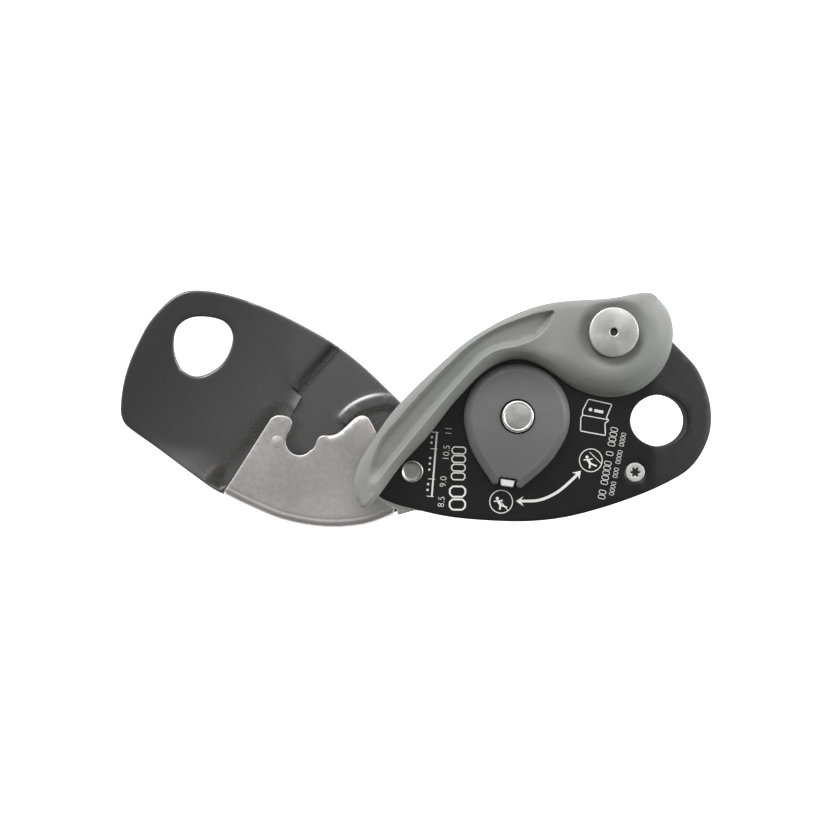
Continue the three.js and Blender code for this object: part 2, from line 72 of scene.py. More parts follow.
PIVOT = axle_of("side_plate_hinge")
HUB = axle_of("handle_pivot")
SCREW = np.array([34.5, -16.2])
SWING = -math.radians(JOINTS["side_plate_hinge"]["range_deg"][0])
FIXED_TOP = levels("fixed_side_plate")[1]
FIXED_T = 3.0
MOVING_T = 2.5
BASE_BOTTOM, LIP_TOP = levels("steel_wear_plate")
LIP_T = 2.0
WALL_T = 2.0
BASE_T = 1.5
LINER_BOTTOM, LINER_TOP = levels("fixed_wear_liner")
LINER_T = 0.8
KNOB_BOTTOM, KNOB_TOP = levels("mode_knob")
KNOB_TIP_ANGLE = math.radians(-98.3)
HANDLE_BOTTOM, HANDLE_TOP = levels("handle")
FINE = 0.55
TURNED_SIDES = 96
BEND_RADIUS = 14.0


# ---- places in the frame ----
def turned_about(points, centre, angle):
    out = np.array(points, float)
    x, y = out[:, 0] - centre[0], out[:, 1] - centre[1]
    out[:, 0] = centre[0] + x * math.cos(angle) - y * math.sin(angle)
    out[:, 1] = centre[1] + x * math.sin(angle) + y * math.cos(angle)
    return out


def on_fixed_side(points):
    return np.array(points, float) * MM + ORIGIN


def on_moving_side(points):
    return on_fixed_side(turned_about(points, PIVOT, SWING))


def on_knob(points):
    return on_fixed_side(turned_about(points, (0, 0), KNOB_TIP_ANGLE))


# ---- plane curves ----
def polar(radius, degrees, centre=(0, 0)):
    angle = math.radians(degrees)
    return (centre[0] + radius * math.cos(angle), centre[1] + radius * math.sin(angle))


def arc(centre, radius, start, end, steps):
    return [polar(radius, start + (end - start) * i / steps, centre) for i in range(steps + 1)]


def respaced(points, step, closed=True):
    points = np.array(points, float)
    if closed:
        points = np.vstack([points, points[:1]])
    lengths = np.hypot(*np.diff(points, axis=0).T)
    run = np.concatenate([[0], np.cumsum(lengths)])
    count = max(int(round(run[-1] / step)), 3)
    at = np.linspace(0, run[-1], count + 1)
    out = np.column_stack([np.interp(at, run, points[:, 0]), np.interp(at, run, points[:, 1])])
    return out[:-1] if closed else out


def smooth(points, closed=True, step=FINE):
    """A centripetal Catmull-Rom curve through the points, in even steps."""
    p = np.array(points, float)
    if closed:
        ends = np.vstack([p[-1:], p, p[:2]])
    else:
        ends = np.vstack([2 * p[0] - p[1], p, 2 * p[-1] - p[-2]])
    t = np.linspace(0, 1, 14, endpoint=False)[:, None]
    out = []
    for a, b, c, d in zip(ends, ends[1:], ends[2:], ends[3:]):
        da, db, dc = (math.sqrt(np.hypot(*(v - u))) or 1e-6 for u, v in ((a, b), (b, c), (c, d)))
        m1 = ((b - a) / da - (c - a) / (da + db) + (c - b) / db) * db
        m2 = ((c - b) / db - (d - b) / (db + dc) + (d - c) / dc) * db
        out.append(b + m1 * t + (3 * (c - b) - 2 * m1 - m2) * t**2 + (2 * (b - c) + m1 + m2) * t**3)
    if not closed:
        out.append(p[-1:])
    return respaced(np.vstack(out), step, closed)


def open_curve(points, step=FINE):
    return smooth(points, False, step)


def circle(centre, radius, step=FINE):
    count = max(int(2 * math.pi * radius / step), 24)
    return np.array(arc(centre, radius, 0, 360, count)[:-1])


def distance(points, line, closed=False):
    """How far each point is from a polyline."""
    a = np.array(line, float)
    b = np.roll(a, -1, axis=0) if closed else a[1:]
    a = a if closed else a[:-1]
    along = b - a
    square = np.maximum((along**2).sum(1), 1e-12)
    out = np.empty(len(points))
    for i in range(0, len(points), 2000):
        rel = points[i : i + 2000, None, :] - a[None]
        t = np.clip((rel * along).sum(2) / square, 0, 1)
        gap = rel - t[..., None] * along
        out[i : i + 2000] = np.sqrt((gap**2).sum(2)).min(1)
    return out


def within(points, line):
    """Which points are inside a closed polyline."""
    a = np.array(line, float)
    b = np.roll(a, -1, axis=0)
    out = np.empty(len(points), bool)
    for i in range(0, len(points), 2000):
        x, y = points[i : i + 2000, 0, None], points[i : i + 2000, 1, None]
        spans = (a[:, 1] > y) != (b[:, 1] > y)
        rise = np.where(np.abs(b[:, 1] - a[:, 1]) < 1e-12, 1e-12, b[:, 1] - a[:, 1])
        cross = a[:, 0] + (y - a[:, 1]) * (b[:, 0] - a[:, 0]) / rise
        out[i : i + 2000] = (spans & (x < cross)).sum(1) % 2 == 1
    return out


def left_of(p, closed):
    """Unit normals to the left of a line's direction of travel."""
    along = np.roll(p, -1, axis=0) - np.roll(p, 1, axis=0) if closed else np.gradient(p, axis=0)
    along /= np.maximum(np.hypot(*along.T), 1e-9)[:, None]
    return np.column_stack([-along[:, 1], along[:, 0]])


def beside(points, gap):
    """An open line moved to the right of its direction of travel."""
    p = np.array(points, float)
    return p - gap * left_of(p, False)


def inset(line, gap):
    """A closed loop moved sideways both ways; the caller keeps the points it needs."""
    p = np.array(line, float)
    side = left_of(p, True)
    return np.vstack([p + gap * side, p - gap * side])


def eased(x):
    x = np.clip(x, 0, 1)
    return x * x * (3 - 2 * x)


def rounding(gap, radius):
    """How far a quarter-round edge drops at a distance inside it."""
    inner = np.clip(radius - gap, 0, radius)
    return radius - np.sqrt(np.maximum(radius**2 - inner**2, 0))


# ---- solids ----
def sheet(outer, top, bottom, holes=(), edge=0.3, under=0.2, step=1.3, marks=()):
    """A closed solid between two levels over an outline, its edges rounded.

    top and bottom are heights, or functions that take arrays x, y and give heights. marks are
    extra lines of points laid in the surface where its shape changes quickly.
    """
    loops = [outer, *holes]
    reach = max(edge, under)

    def to_rim(at):
        return np.min([distance(at, line, closed=True) for line in loops], axis=0)

    def in_material(at):
        keep = within(at, outer)
        for hole in holes:
            keep &= ~within(at, hole)
        return keep

    candidates = []
    for share in (0.1, 0.3, 0.62, 1.0):
        for line in loops:
            ring = inset(line, reach * share)
            candidates.append(ring[to_rim(ring) > reach * share * 0.97])
    low, high = outer.min(0), outer.max(0)
    xs = np.arange(low[0], high[0], step)
    ys = np.arange(low[1], high[1], step * 0.87)
    grid = np.array([(x + (j % 2) * step / 2, y) for j, y in enumerate(ys) for x in xs])
    gap = to_rim(grid)
    for line in marks:
        gap = np.minimum(gap, distance(grid, line) + reach)
    candidates.append(grid[gap > reach + step * 0.45])
    candidates += [np.array(line, float) for line in marks]
    free = np.vstack(candidates)
    free = free[in_material(free)]
    free = free[to_rim(free) > reach * 0.08]
    edges, start = [], 0
    for line in loops:
        edges += [(start + i, start + (i + 1) % len(line)) for i in range(len(line))]
        start += len(line)
    cloud = [Vector(p) for p in np.vstack([*loops, free])]
    made = delaunay_2d_cdt(cloud, edges, [], 0, 1e-4)
    flat = np.array([tuple(v) for v in made[0]])
    faces = np.array([f for f in made[2] if len(f) == 3])
    faces = faces[in_material(flat[faces].mean(1))]
    a, b, c = (flat[faces[:, i]] for i in range(3))
    area = (b[:, 0] - a[:, 0]) * (c[:, 1] - a[:, 1]) - (b[:, 1] - a[:, 1]) * (c[:, 0] - a[:, 0])
    faces[area < 0] = faces[area < 0][:, ::-1]
    used = np.unique(faces)
    renumber = np.full(len(flat), -1)
    renumber[used] = np.arange(len(used))
    flat, faces = flat[used], renumber[faces]
    gap = to_rim(flat)
    x, y = flat.T
    upper = (top(x, y) if callable(top) else top) - rounding(gap, edge)
    lower = (bottom(x, y) if callable(bottom) else bottom) + rounding(gap, under)
    points = np.vstack([np.column_stack([x, y, upper]), np.column_stack([x, y, lower])])
    count = len(flat)
    directed = {(int(f[i]), int(f[(i + 1) % 3])) for f in faces for i in range(3)}
    rim = [(p, q) for p, q in directed if (q, p) not in directed]
    polygons = [tuple(map(int, f)) for f in faces]
    polygons += [tuple(int(v) + count for v in f[::-1]) for f in faces]
    polygons += [(p + count, q + count, q, p) for p, q in sorted(rim)]
    return points, polygons


def lathe(profile, centre=(0, 0), sides=TURNED_SIDES, ring=False):
    """A closed turned solid; profile is (radius, height) from axis to axis, upwards.

    A ring's profile is a closed list instead, anticlockwise in section.
    """
    rows, points = [], []
    for radius, z in profile:
        if radius < 1e-6:
            rows.append([len(points)])
            points.append((centre[0], centre[1], z))
            continue
        rows.append(list(range(len(points), len(points) + sides)))
        points += [(*polar(radius, 360 * i / sides, centre), z) for i in range(sides)]
    polygons = []
    for low, high in zip(rows, rows[1:] + rows[: int(ring)]):
        for i in range(sides):
            j = (i + 1) % sides
            if len(low) == 1:
                polygons.append((low[0], high[j], high[i]))
            elif len(high) == 1:
                polygons.append((low[i], low[j], high[0]))
            else:
                polygons.append((low[i], low[j], high[j], high[i]))
    return np.array(points), polygons


def coil(centre, radius, wire, bottom, top, turns=2, around=12):
    """A helical spring of round wire with flat ends."""
    steps = int(turns * 40)
    points, polygons = [], []
    for i in range(steps + 1):
        angle = 2 * math.pi * turns * i / steps
        outward = np.array([math.cos(angle), math.sin(angle), 0])
        middle = np.array([*centre, bottom + (top - bottom) * i / steps]) + radius * outward
        for k in range(around):
            turn = 2 * math.pi * k / around
            spoke = math.cos(turn) * outward + math.sin(turn) * np.array([0, 0, 1])
            points.append(middle + wire / 2 * spoke)
    for i in range(steps):
        for k in range(around):
            m = (k + 1) % around
            low, high = i * around, (i + 1) * around
            polygons.append((low + k, high + k, high + m, low + m))
    polygons.append(tuple(range(around)))
    polygons.append(tuple(reversed(range(steps * around, (steps + 1) * around))))
    return np.array(points), polygons


def bent(points, face_z, bend_x, bend_degrees, radius=BEND_RADIUS):
    """Folds a flat sheet about Y: face_z is the face whose bend has the given radius."""
    out = np.array(points, float)
    angle = math.radians(bend_degrees)
    sign = 1 if angle > 0 else -1
    start = bend_x - radius * math.tan(abs(angle) / 2)
    length = radius * abs(angle)
    run = out[:, 0] - start
    turn = np.clip(run, 0, length) / radius
    beyond = np.clip(run - length, 0, None)
    x = start + radius * np.sin(turn) + beyond * math.cos(angle)
    z = sign * (radius * (1 - np.cos(turn)) + beyond * math.sin(abs(angle)))
    level = out[:, 2] - face_z
    flat = run < 0
    out[:, 0] = np.where(flat, out[:, 0], x - level * sign * np.sin(turn))
    out[:, 2] = np.where(flat, out[:, 2], face_z + z + level * np.cos(turn))
    return out


def unfolded(points, bend_x, bend_degrees, radius=BEND_RADIUS):
    """The flat pattern of an outline seen square on, for bent()."""
    out = np.array(points, float)
    angle = abs(math.radians(bend_degrees))
    start = bend_x - radius * math.tan(angle / 2)
    end = start + radius * math.sin(angle)
    x = out[:, 0]
    on_arc = start + radius * np.arcsin(np.clip((x - start) / radius, 0, math.sin(angle)))
    beyond = start + radius * angle + (x - end) / math.cos(angle)
    out[:, 0] = np.where(x < start, x, np.where(x < end, on_arc, beyond))
    return out


# ---- pieces ----
def placed(name, data):
    made = bpy.data.objects.new(name, data)
    bpy.context.scene.collection.objects.link(made)
    return made


def piece(name, solid, slot, material, replaces=(), body="fixed_side", place=on_fixed_side,
          sharp=32, bevel=0.0):
    points, polygons = solid
    mesh = bpy.data.meshes.new(name)
    mesh.from_pydata([tuple(p) for p in place(points)], [], polygons)
    mesh.validate()
    mesh.shade_smooth()
    mesh.set_sharp_from_angle(angle=math.radians(sharp))
    mesh.materials.append(material)
    made = placed(name, mesh)
    if bevel:
        edge = made.modifiers.new("edges", "BEVEL")
        edge.width = bevel * MM
        edge.segments = 2
        edge.limit_method = "ANGLE"
        edge.angle_limit = math.radians(35)
        edge.harden_normals = True
    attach(made, body)
    if replaces:
        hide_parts(*replaces)
    return made


def turned(name, node, foot, head, material, centre=(0, 0), sides=48, replaces=True, **how):
    """A turned piece: radii with heights above a CAD node's bottom, then below its top."""
    low, top = levels(node)
    profile = [(radius, low + rise) for radius, rise in foot]
    profile += [(radius, top - drop) for radius, drop in head]
    piece(name, lathe(profile, centre, sides), "turned_steel", material, [node] if replaces else (), **how)


def spring(name, node, body, centre, radius, wire, around=12):
    """A coil spring that fills its CAD node's height."""
    low, top = levels(node)
    solid = coil(centre, radius, wire, low + wire / 2, top - wire / 2, around=around)
    piece(name, solid, "spring_steel", SPRING, [node], body)


def joined(solids):
    points, polygons, start = [], [], 0
    for more, faces in solids:
        points.append(more)
        polygons += [tuple(v + start for v in face) for face in faces]
        start += len(more)
    return np.vstack(points), polygons


# ---- materials ----
NOISE_SPAN = (0.3, 0.7)
EDGE_SPAN = (0.52, 0.6)
BROAD_EDGE_SPAN = (0.57, 0.72)


def set_stops(ramp, stops):
    """Fills a colour ramp; a stop's colour is three numbers, or one for a grey."""
    while len(ramp.elements) < len(stops):
        ramp.elements.new(0.5)
    for element, (place, color) in zip(ramp.elements, stops):
        element.position = place
        element.color = (*color, 1) if isinstance(color, tuple) else (color, color, color, 1)


class Nodes:
    """Short calls for the node tree of a material or a world."""

    def __init__(self, name, kind="materials", shader="Principled BSDF", place="Object"):
        self.owner = getattr(bpy.data, kind).new(name)
        self.owner.use_nodes = True
        self.tree = self.owner.node_tree
        self.shader = self.tree.nodes[shader]
        self.place = self.add("ShaderNodeTexCoord").outputs[place]

    def add(self, kind, inputs=None, **settings):
        node = self.tree.nodes.new(kind)
        for key, value in settings.items():
            setattr(node, key, value)
        for key, value in (inputs or {}).items():
            self.set(node.inputs[key], value)
        return node

    def set(self, socket, value):
        if isinstance(value, bpy.types.NodeSocket):
            self.tree.links.new(value, socket)
        else:
            socket.default_value = value

    def noise(self, scale, detail=3.0, stretch=(1, 1, 1), turn=0.0, rough=0.5):
        mapping = {"Vector": self.place, "Scale": stretch, "Rotation": (0, 0, turn)}
        place = self.add("ShaderNodeMapping", mapping).outputs[0]
        inputs = {"Vector": place, "Scale": scale, "Detail": detail, "Roughness": rough}
        return self.add("ShaderNodeTexNoise", inputs).outputs["Fac"]

    def math(self, operation, a, b=0.5, kind="ShaderNodeMath"):
        return self.add(kind, {0: a, 1: b}, operation=operation).outputs[0]

    def between(self, value, start, end, low=0.0, high=1.0):
        """Maps a value from one range to another, clamped."""
        inputs = {"Value": value, "From Min": start, "From Max": end, "To Min": low, "To Max": high}
        return self.add("ShaderNodeMapRange", inputs).outputs[0]

    def ramp(self, value, stops):
        made = self.add("ShaderNodeValToRGB", {"Fac": value})
        set_stops(made.color_ramp, stops)
        return made.outputs["Color"]

    def level(self, noise, low, high):
        """Spreads a noise over a range."""
        return self.between(noise, *NOISE_SPAN, low, high)

    def mottled(self, color, scale, detail, low, high):
        """The colour, cloudy between two strengths."""
        return self.mix(self.noise(scale, detail), shade(color, low), shade(color, high))

    def mix(self, factor, a, b):
        made = self.add("ShaderNodeMix", data_type="RGBA")
        for socket, value in zip((made.inputs[0], made.inputs[6], made.inputs[7]), (factor, a, b)):
            self.set(socket, value if isinstance(value, (float, bpy.types.NodeSocket)) else (*value, 1))
        return made.outputs[2]

    def bump(self, layers):
        normal = None
        for value, strength, depth in layers:
            inputs = {"Height": value, "Strength": strength, "Distance": depth * MM}
            if normal is not None:
                inputs["Normal"] = normal
            normal = self.add("ShaderNodeBump", inputs).outputs["Normal"]
        self.set(self.shader.inputs["Normal"], normal)

    def finish(self, color, roughness, **constants):
        self.set(self.shader.inputs["Base Color"], color)
        self.set(self.shader.inputs["Roughness"], roughness)
        for key, value in constants.items():
            self.shader.inputs[key.replace("_", " ")].default_value = value
        return self.owner


def shade(color, by):
    return tuple(c * by for c in color)


def worn_and_highlit_edge(n, color, bright, span=EDGE_SPAN):
    """Lightens convex edges, where the finish has rubbed, and as a painted highlight along the edge
    roundings.
    """
    pointy = n.add("ShaderNodeNewGeometry").outputs["Pointiness"]
    patchy = n.math("MULTIPLY", n.between(pointy, *span), n.noise(150, 2))
    return n.mix(patchy, color, bright)


def along(n, direction):
    """A node value: millimetres along a direction of the closed moving side."""
    start, end = on_moving_side([(0, 0, 0), (*direction, 0)])
    away = n.math("SUBTRACT", n.place, start, "ShaderNodeVectorMath")
    axis = (end - start) / MM**2
    return n.add("ShaderNodeVectorMath", {0: away, 1: axis}, operation="DOT_PRODUCT").outputs["Value"]


def painted_plate_shade(n, tone, color):
    """Painted shade on the moving plate: darkens its free end, and a band along its pressed step."""
    out = n.math("DIVIDE", along(n, (1, 0)), 60.0)
    side = n.math("DIVIDE", along(n, (0, -1)), 30.0)
    free_end = n.ramp(out, [(0.33, 0.0), (0.55, 0.34), (0.8, 0.6)])
    tone = n.mix(free_end, tone, shade(color, 0.3))
    band = n.ramp(out, [(0.168, 0.0), (0.195, 1.0), (0.215, 1.0), (0.25, 0.0)])
    reach = n.ramp(side, [(0.3, 0.0), (0.34, 0.5), (0.8, 0.85)])
    return n.mix(n.math("MULTIPLY", band, reach), tone, shade(color, 0.2))


def anodised(name, color, roughness, metallic, specular, wear, with_painted_shade=False):
    n = Nodes(name)
    tone = n.mottled(color, 60, 3, 0.93, 1.08)
    # painted shade: the moving plate darker towards its free end and in a band along its pressed step
    if with_painted_shade:
        tone = painted_plate_shade(n, tone, color)
    # edge colour: wear, and a painted highlight along the rounded edges
    tone = worn_and_highlit_edge(n, tone, wear)
    n.bump([(n.noise(5200, 2), 0.03, 0.008), (n.noise(240, 2), 0.012, 0.03)])
    normal = n.add("ShaderNodeNewGeometry").outputs["Normal"]
    upright = n.add("ShaderNodeSeparateXYZ", {0: normal}).outputs["Z"]
    cut_wall = n.between(n.math("ABSOLUTE", upright), 0.75, 0.1)
    face = n.level(n.noise(420, 4), roughness - 0.03, roughness + 0.04)
    return n.finish(tone, n.mix(cut_wall, face, (0.95, 0.95, 0.95)),
                    Metallic=metallic, Specular_IOR_Level=specular)


def tumbled_steel(name, warm, cool, roughness):
    n = Nodes(name)
    cloudy = n.ramp(n.noise(34, 2), [(0.25, shade(cool, 0.8)), (0.5, warm), (0.66, shade(warm, 1.2))])
    tone = n.mix(n.level(n.noise(3600, 4, rough=0.7), 0.0, 0.22), cloudy, shade(cool, 0.74))
    scratches = n.noise(520, 4, (7, 0.5, 1), math.radians(38), 0.6)
    n.bump([(n.noise(4200, 3, rough=0.6), 0.1, 0.02), (scratches, 0.03, 0.02)])
    return n.finish(tone, n.level(n.noise(900, 4), roughness - 0.04, roughness + 0.05), Metallic=1.0)


def turned_metal(name, color, roughness, centre, rings=0.3):
    """Lathe-turned metal: fine rings about its own axis."""
    n = Nodes(name)
    shift = [-v for v in on_fixed_side([(*centre, 0)])[0]]
    place = n.add("ShaderNodeMapping", {"Vector": n.place, "Location": shift}).outputs[0]
    wave = {"Vector": place, "Scale": 0.314 / (rings * MM), "Distortion": 0.3, "Detail": 1.0}
    lines = n.add("ShaderNodeTexWave", wave, wave_type="RINGS", rings_direction="Z").outputs["Fac"]
    tone = n.mottled(color, 300, 4, 0.92, 1.06)
    tone = n.mix(n.level(lines, 0.0, 0.14), tone, shade(color, 0.7))
    n.bump([(lines, 0.12, 0.02), (n.noise(1800, 3), 0.04, 0.02)])
    around = n.add("ShaderNodeTangent", direction_type="RADIAL", axis="Z").outputs[0]
    n.set(n.shader.inputs["Tangent"], around)
    return n.finish(tone, n.level(n.noise(500, 4), roughness - 0.04, roughness + 0.05), Metallic=1.0,
                    Anisotropic=0.55)


def plain_metal(name, color, roughness, metallic=1.0):
    n = Nodes(name)
    tone = n.mottled(color, 220, 4, 0.82, 1.14)
    n.bump([(n.noise(1500, 4), 0.12, 0.03)])
    return n.finish(tone, n.level(n.noise(600, 4), roughness - 0.06, roughness + 0.1), Metallic=metallic)


def moulded(name, color, roughness, grain, tint=None, painted_shadow=0.0):
    """Matte moulded polymer with a fine grain, and optionally a painted shadow that darkens it towards +Y,
    where the handle lies above.
    """
    n = Nodes(name)
    tone = n.mottled(color, 45, 3, 0.93, 1.06)
    # painted shadow of the handle: darker towards +Y
    if painted_shadow:
        y = n.add("ShaderNodeSeparateXYZ", {0: n.place}).outputs["Y"]
        far = n.between(y, ORIGIN[1] + 3 * MM, ORIGIN[1] + 15 * MM, 0.0, painted_shadow)
        tone = n.mix(far, tone, shade(color, 0.3))
    if tint:
        tone = n.mix(n.level(n.noise(26, 2), 0.0, 0.5), tone, tint)
    tone = worn_and_highlit_edge(n, tone, shade(color, 1.25), BROAD_EDGE_SPAN)
    n.bump([(n.noise(3400, 3), grain, 0.03), (n.noise(160, 3), 0.05, 0.06)])
    dull = n.level(n.noise(900, 3), roughness - 0.05, roughness + 0.06)
    return n.finish(tone, dull, Specular_IOR_Level=0.35)


def printed(name, color):
    n = Nodes(name)
    tone = n.mix(n.noise(2200, 4), shade(color, 0.86), color)
    n.bump([(n.noise(3000, 2), 0.08, 0.01)])
    return n.finish(tone, n.level(n.noise(1500, 2), 0.5, 0.65), Specular_IOR_Level=0.2)


BLACK = anodised("black_anodised", (0.0065, 0.0066, 0.0066), 0.33, 0.0, 0.5, (0.06, 0.06, 0.062))
# the moving plate's finish, carrying its painted shade
GREY = anodised("grey_anodised", (0.175, 0.175, 0.175), 0.25, 0.7, 0.5, (0.4, 0.4, 0.4), True)
STEEL = tumbled_steel("stainless", (0.74, 0.7, 0.685), (0.67, 0.665, 0.64), 0.42)
LINER_STEEL = tumbled_steel("liner_stainless", (0.86, 0.85, 0.84), (0.8, 0.8, 0.79), 0.25)
STEEL_PLAIN = plain_metal("steel_plain", (0.68, 0.67, 0.66), 0.36)
# near-black metal for painted shade: dark plugs in the screw's recess and the handle axle's centre hole
PAINTED_SHADE_STEEL = plain_metal("painted_shade_steel", (0.09, 0.09, 0.088), 0.5)
SPRING = plain_metal("spring_steel", (0.42, 0.43, 0.44), 0.34)
CAST = plain_metal("cast_steel", (0.42, 0.42, 0.41), 0.45)
BRONZE = plain_metal("bronze", (0.62, 0.42, 0.2), 0.38)
HANDLE_GREY = moulded("handle_polymer", (0.3, 0.3, 0.295), 0.5, 0.14, (0.265, 0.285, 0.265))
# the knob's top darkened by a painted shadow of the handle
KNOB_GREY = moulded("knob_polymer", (0.163, 0.164, 0.163), 0.46, 0.14, painted_shadow=0.6)
TAB_WHITE = moulded("tab_polymer", (0.82, 0.82, 0.8), 0.45, 0.08)
PRINT = printed("white_print", (0.95, 0.95, 0.94))
AXLE_STEEL = turned_metal("cam_axle_steel", (0.85, 0.85, 0.84), 0.3, (0, 0))
HUB_STEEL = turned_metal("handle_axle_steel", (0.86, 0.86, 0.85), 0.36, HUB)
RIVET_STEEL = turned_metal("rivet_steel", (0.5, 0.5, 0.49), 0.3, PIVOT)
ZINC = plain_metal("zinc_screw", (0.72, 0.72, 0.71), 0.3, 0.45)
STUD_STEEL = plain_metal("stud_steel", (0.84, 0.8, 0.79), 0.4)


# ---- fixed side plate ----
FIXED_BEND = (39.0, -16.0)
CLIP_CENTRE = (41.7, -1.2)
CLIP_HALF = (8.55, 7.5)
FIXED_OUTLINE = [
    (-39.7, -23.2), (-35.2, -25.4), (-29.5, -26.9), (-20.1, -29.0), (-7.8, -30.2), (3.7, -30.4),
    (13.8, -29.3), (24.6, -26.6), (35.4, -22.9), (45.1, -18.8), (50.7, -15.5), (54.6, -11.0),
    (57.4, -4.5), (57.7, 2.1), (56.3, 7.9), (53.3, 14.1), (48.8, 18.9), (44.6, 22.8), (39.8, 27.2),
    (34.0, 30.1), (26.5, 31.0), (18.0, 30.0), (6.0, 26.6), (-6.8, 22.2), (-17.5, 17.0), (-27.5, 8.4),
    (-34.2, -0.6), (-37.8, -8.4), (-40.2, -16.4), (-40.8, -21.2),
]
SLOT_ARC = (20.5, 1.9, 30, 61)


def release_slot():
    radius, half, start, end = SLOT_ARC
    line = [
        *arc(polar(radius, start), half, start + 180, start + 360, 8),
        *arc((0, 0), radius + half, start, end, 8)[1:-1],
        *arc(polar(radius, end), half, end, end + 180, 8),
        *arc((0, 0), radius - half, end, start, 8)[1:-1],
    ]
    return respaced(line, FINE)


def make_fixed_plate():
    outer = unfolded(smooth(FIXED_OUTLINE), *FIXED_BEND)
    turns = np.linspace(0, 2 * math.pi, 90, endpoint=False)
    oval = [(CLIP_CENTRE[0] + CLIP_HALF[0] * math.cos(t), CLIP_CENTRE[1] + CLIP_HALF[1] * math.sin(t))
            for t in turns]
    bores = [circle((0, 0), 3.3), circle(PIVOT, 2.7), circle(HUB, 3.8), circle(SCREW, 3.0)]
    holes = [unfolded(oval, *FIXED_BEND), *bores, release_slot()]
    points, polygons = sheet(outer, FIXED_TOP, FIXED_TOP - FIXED_T, holes, edge=0.4, under=0.15, step=1.6)
    points = bent(points, FIXED_TOP, *FIXED_BEND)
    piece("fixed_plate", (points, polygons), "black_anodised", BLACK, ["fixed_side_plate"])


def make_liner():
    outline = smooth([
        (-40.7, -23.3), (-38.1, -25.3), (-35.0, -26.9), (-28.6, -27.6), (-19.6, -28.2), (-7.8, -28.9),
        (3.7, -29.1), (13.8, -28.0), (24.6, -25.2), (34.0, -21.8), (37.4, -18.4), (37.0, -12.4),
        (30.0, -6.0), (20.0, 0.4), (12.6, 7.4), (8.0, 13.2), (3.4, 22.6), (-6.8, 20.4), (-17.0, 15.2),
        (-26.0, 7.2), (-32.8, -1.6), (-36.4, -9.0), (-38.8, -16.6),
    ])
    holes = [circle((0, 0), 3.3), circle(PIVOT, 2.7), circle(SCREW, 1.8)]
    face = sheet(outline, LINER_TOP, LINER_TOP - LINER_T, holes, step=1.8)
    tab_line = respaced([(-34.9, -25.6), (-34.4, -28.9), (-29.0, -27.4), (-28.6, -25.6)], 0.4)
    tab = sheet(tab_line, LINER_TOP - 0.05, LINER_BOTTOM, edge=0.35, under=0.3, step=0.7)
    piece("wear_liner", joined([face, tab]), "stainless", LINER_STEEL, ["fixed_wear_liner"])


# ---- printed marks ----
PRINT_Z = (FIXED_TOP - 0.02, FIXED_TOP + 0.03)
DIGIT_SIZE = 2.7
DIGIT_TURN = 85.5


def directions(a, b):
    """Unit vectors along a line and to its left."""
    along = np.array(b, float) - np.array(a, float)
    along /= np.hypot(*along)
    return along, np.array([-along[1], along[0]])


def box_glyph(centre, along, side, size, width):
    """An empty rounded frame in place of a printed character."""
    half_along, half_across = size[0] / 2, size[1] / 2
    cut = min(size) * 0.28
    corners = []
    for sx, sy in ((1, 1), (-1, 1), (-1, -1), (1, -1)):
        ends = [(sx * (half_along - cut), sy * half_across), (sx * half_along, sy * (half_across - cut))]
        corners += ends[:: -1 if sx * sy > 0 else 1]
    line = [centre + along * u + side * v for u, v in corners]
    return ribbon(respaced(line, 0.4), width, closed=True)


def ribbon(line, width, closed=False):
    """A thin printed stroke along a line."""
    p = np.array(line, float)
    side = left_of(p, closed) * width / 2
    low, high = PRINT_Z
    corners = [np.column_stack([q, np.full(len(q), z)]) for q in (p - side, p + side) for z in (low, high)]
    count = len(p)
    points = np.vstack([corners[0], corners[1], corners[3], corners[2]])
    polygons = []
    for i in range(count if closed else count - 1):
        j = (i + 1) % count
        for k in range(4):
            m = (k + 1) % 4
            polygons.append((k * count + i, k * count + j, m * count + j, m * count + i))
    if not closed:
        polygons.append((0, count, 2 * count, 3 * count))
        polygons.append(tuple(k * count + count - 1 for k in (3, 2, 1, 0)))
    return points, polygons


def spot(centre, radius):
    low, high = PRINT_Z
    return lathe([(0, low), (radius, low), (radius, high), (0, high)], centre, 20)


def filled(corners):
    count = len(corners)
    low, high = PRINT_Z
    points = np.array([(x, y, z) for z in (low, high) for x, y in corners])
    polygons = [tuple(reversed(range(count))), tuple(range(count, 2 * count))]
    polygons += [(i, (i + 1) % count, (i + 1) % count + count, i + count) for i in range(count)]
    return points, polygons


def between(a, b, share, sideways=0.0):
    a, b = np.array(a, float), np.array(b, float)
    return a + (b - a) * share + sideways * directions(a, b)[1]


def rope_scale():
    top, end = (-23.0, -4.6), (-24.5, -23.2)
    marks = [ribbon([top, end], 0.5)]
    for share in (0.0, 0.26, 0.73, 1.0):
        marks.append(ribbon([between(top, end, share, 0.5), between(top, end, share, -1.5)], 0.22))
    for share in (0.08, 0.167, 0.407, 0.495, 0.586, 0.813, 0.903):
        marks.append(spot(between(top, end, share, -1.35), 0.34))
    return marks


def mode_icon(centre, climbing):
    """A ring with a plain pictogram: a dot and strokes, hanging or standing."""
    cx, cy = centre
    marks = [ribbon(circle(centre, 3.3, 0.3), 0.26, closed=True)]
    rope = [(-0.4, 2.4), (3.0, -0.9)] if climbing else [(-0.2, 0.2), (2.0, -2.6)]
    marks.append(ribbon([(cx + x, cy + y) for x, y in rope], 0.2))
    hips, neck = (-0.2, -0.9), (-0.9, 0.2)
    limbs = [(hips, neck, 0.75), (neck, (-2.1, 0.1), 0.34), (neck, (0.5, 0.4), 0.34),
             (hips, (1.7, -1.7), 0.45), (hips, (-0.4, -2.3), 0.5)]
    for a, b, width in limbs:
        marks.append(ribbon([(cx + a[0], cy + a[1]), (cx + b[0], cy + b[1])], width))
    marks.append(spot((cx - 1.1, cy + 0.95), 0.46))
    return marks


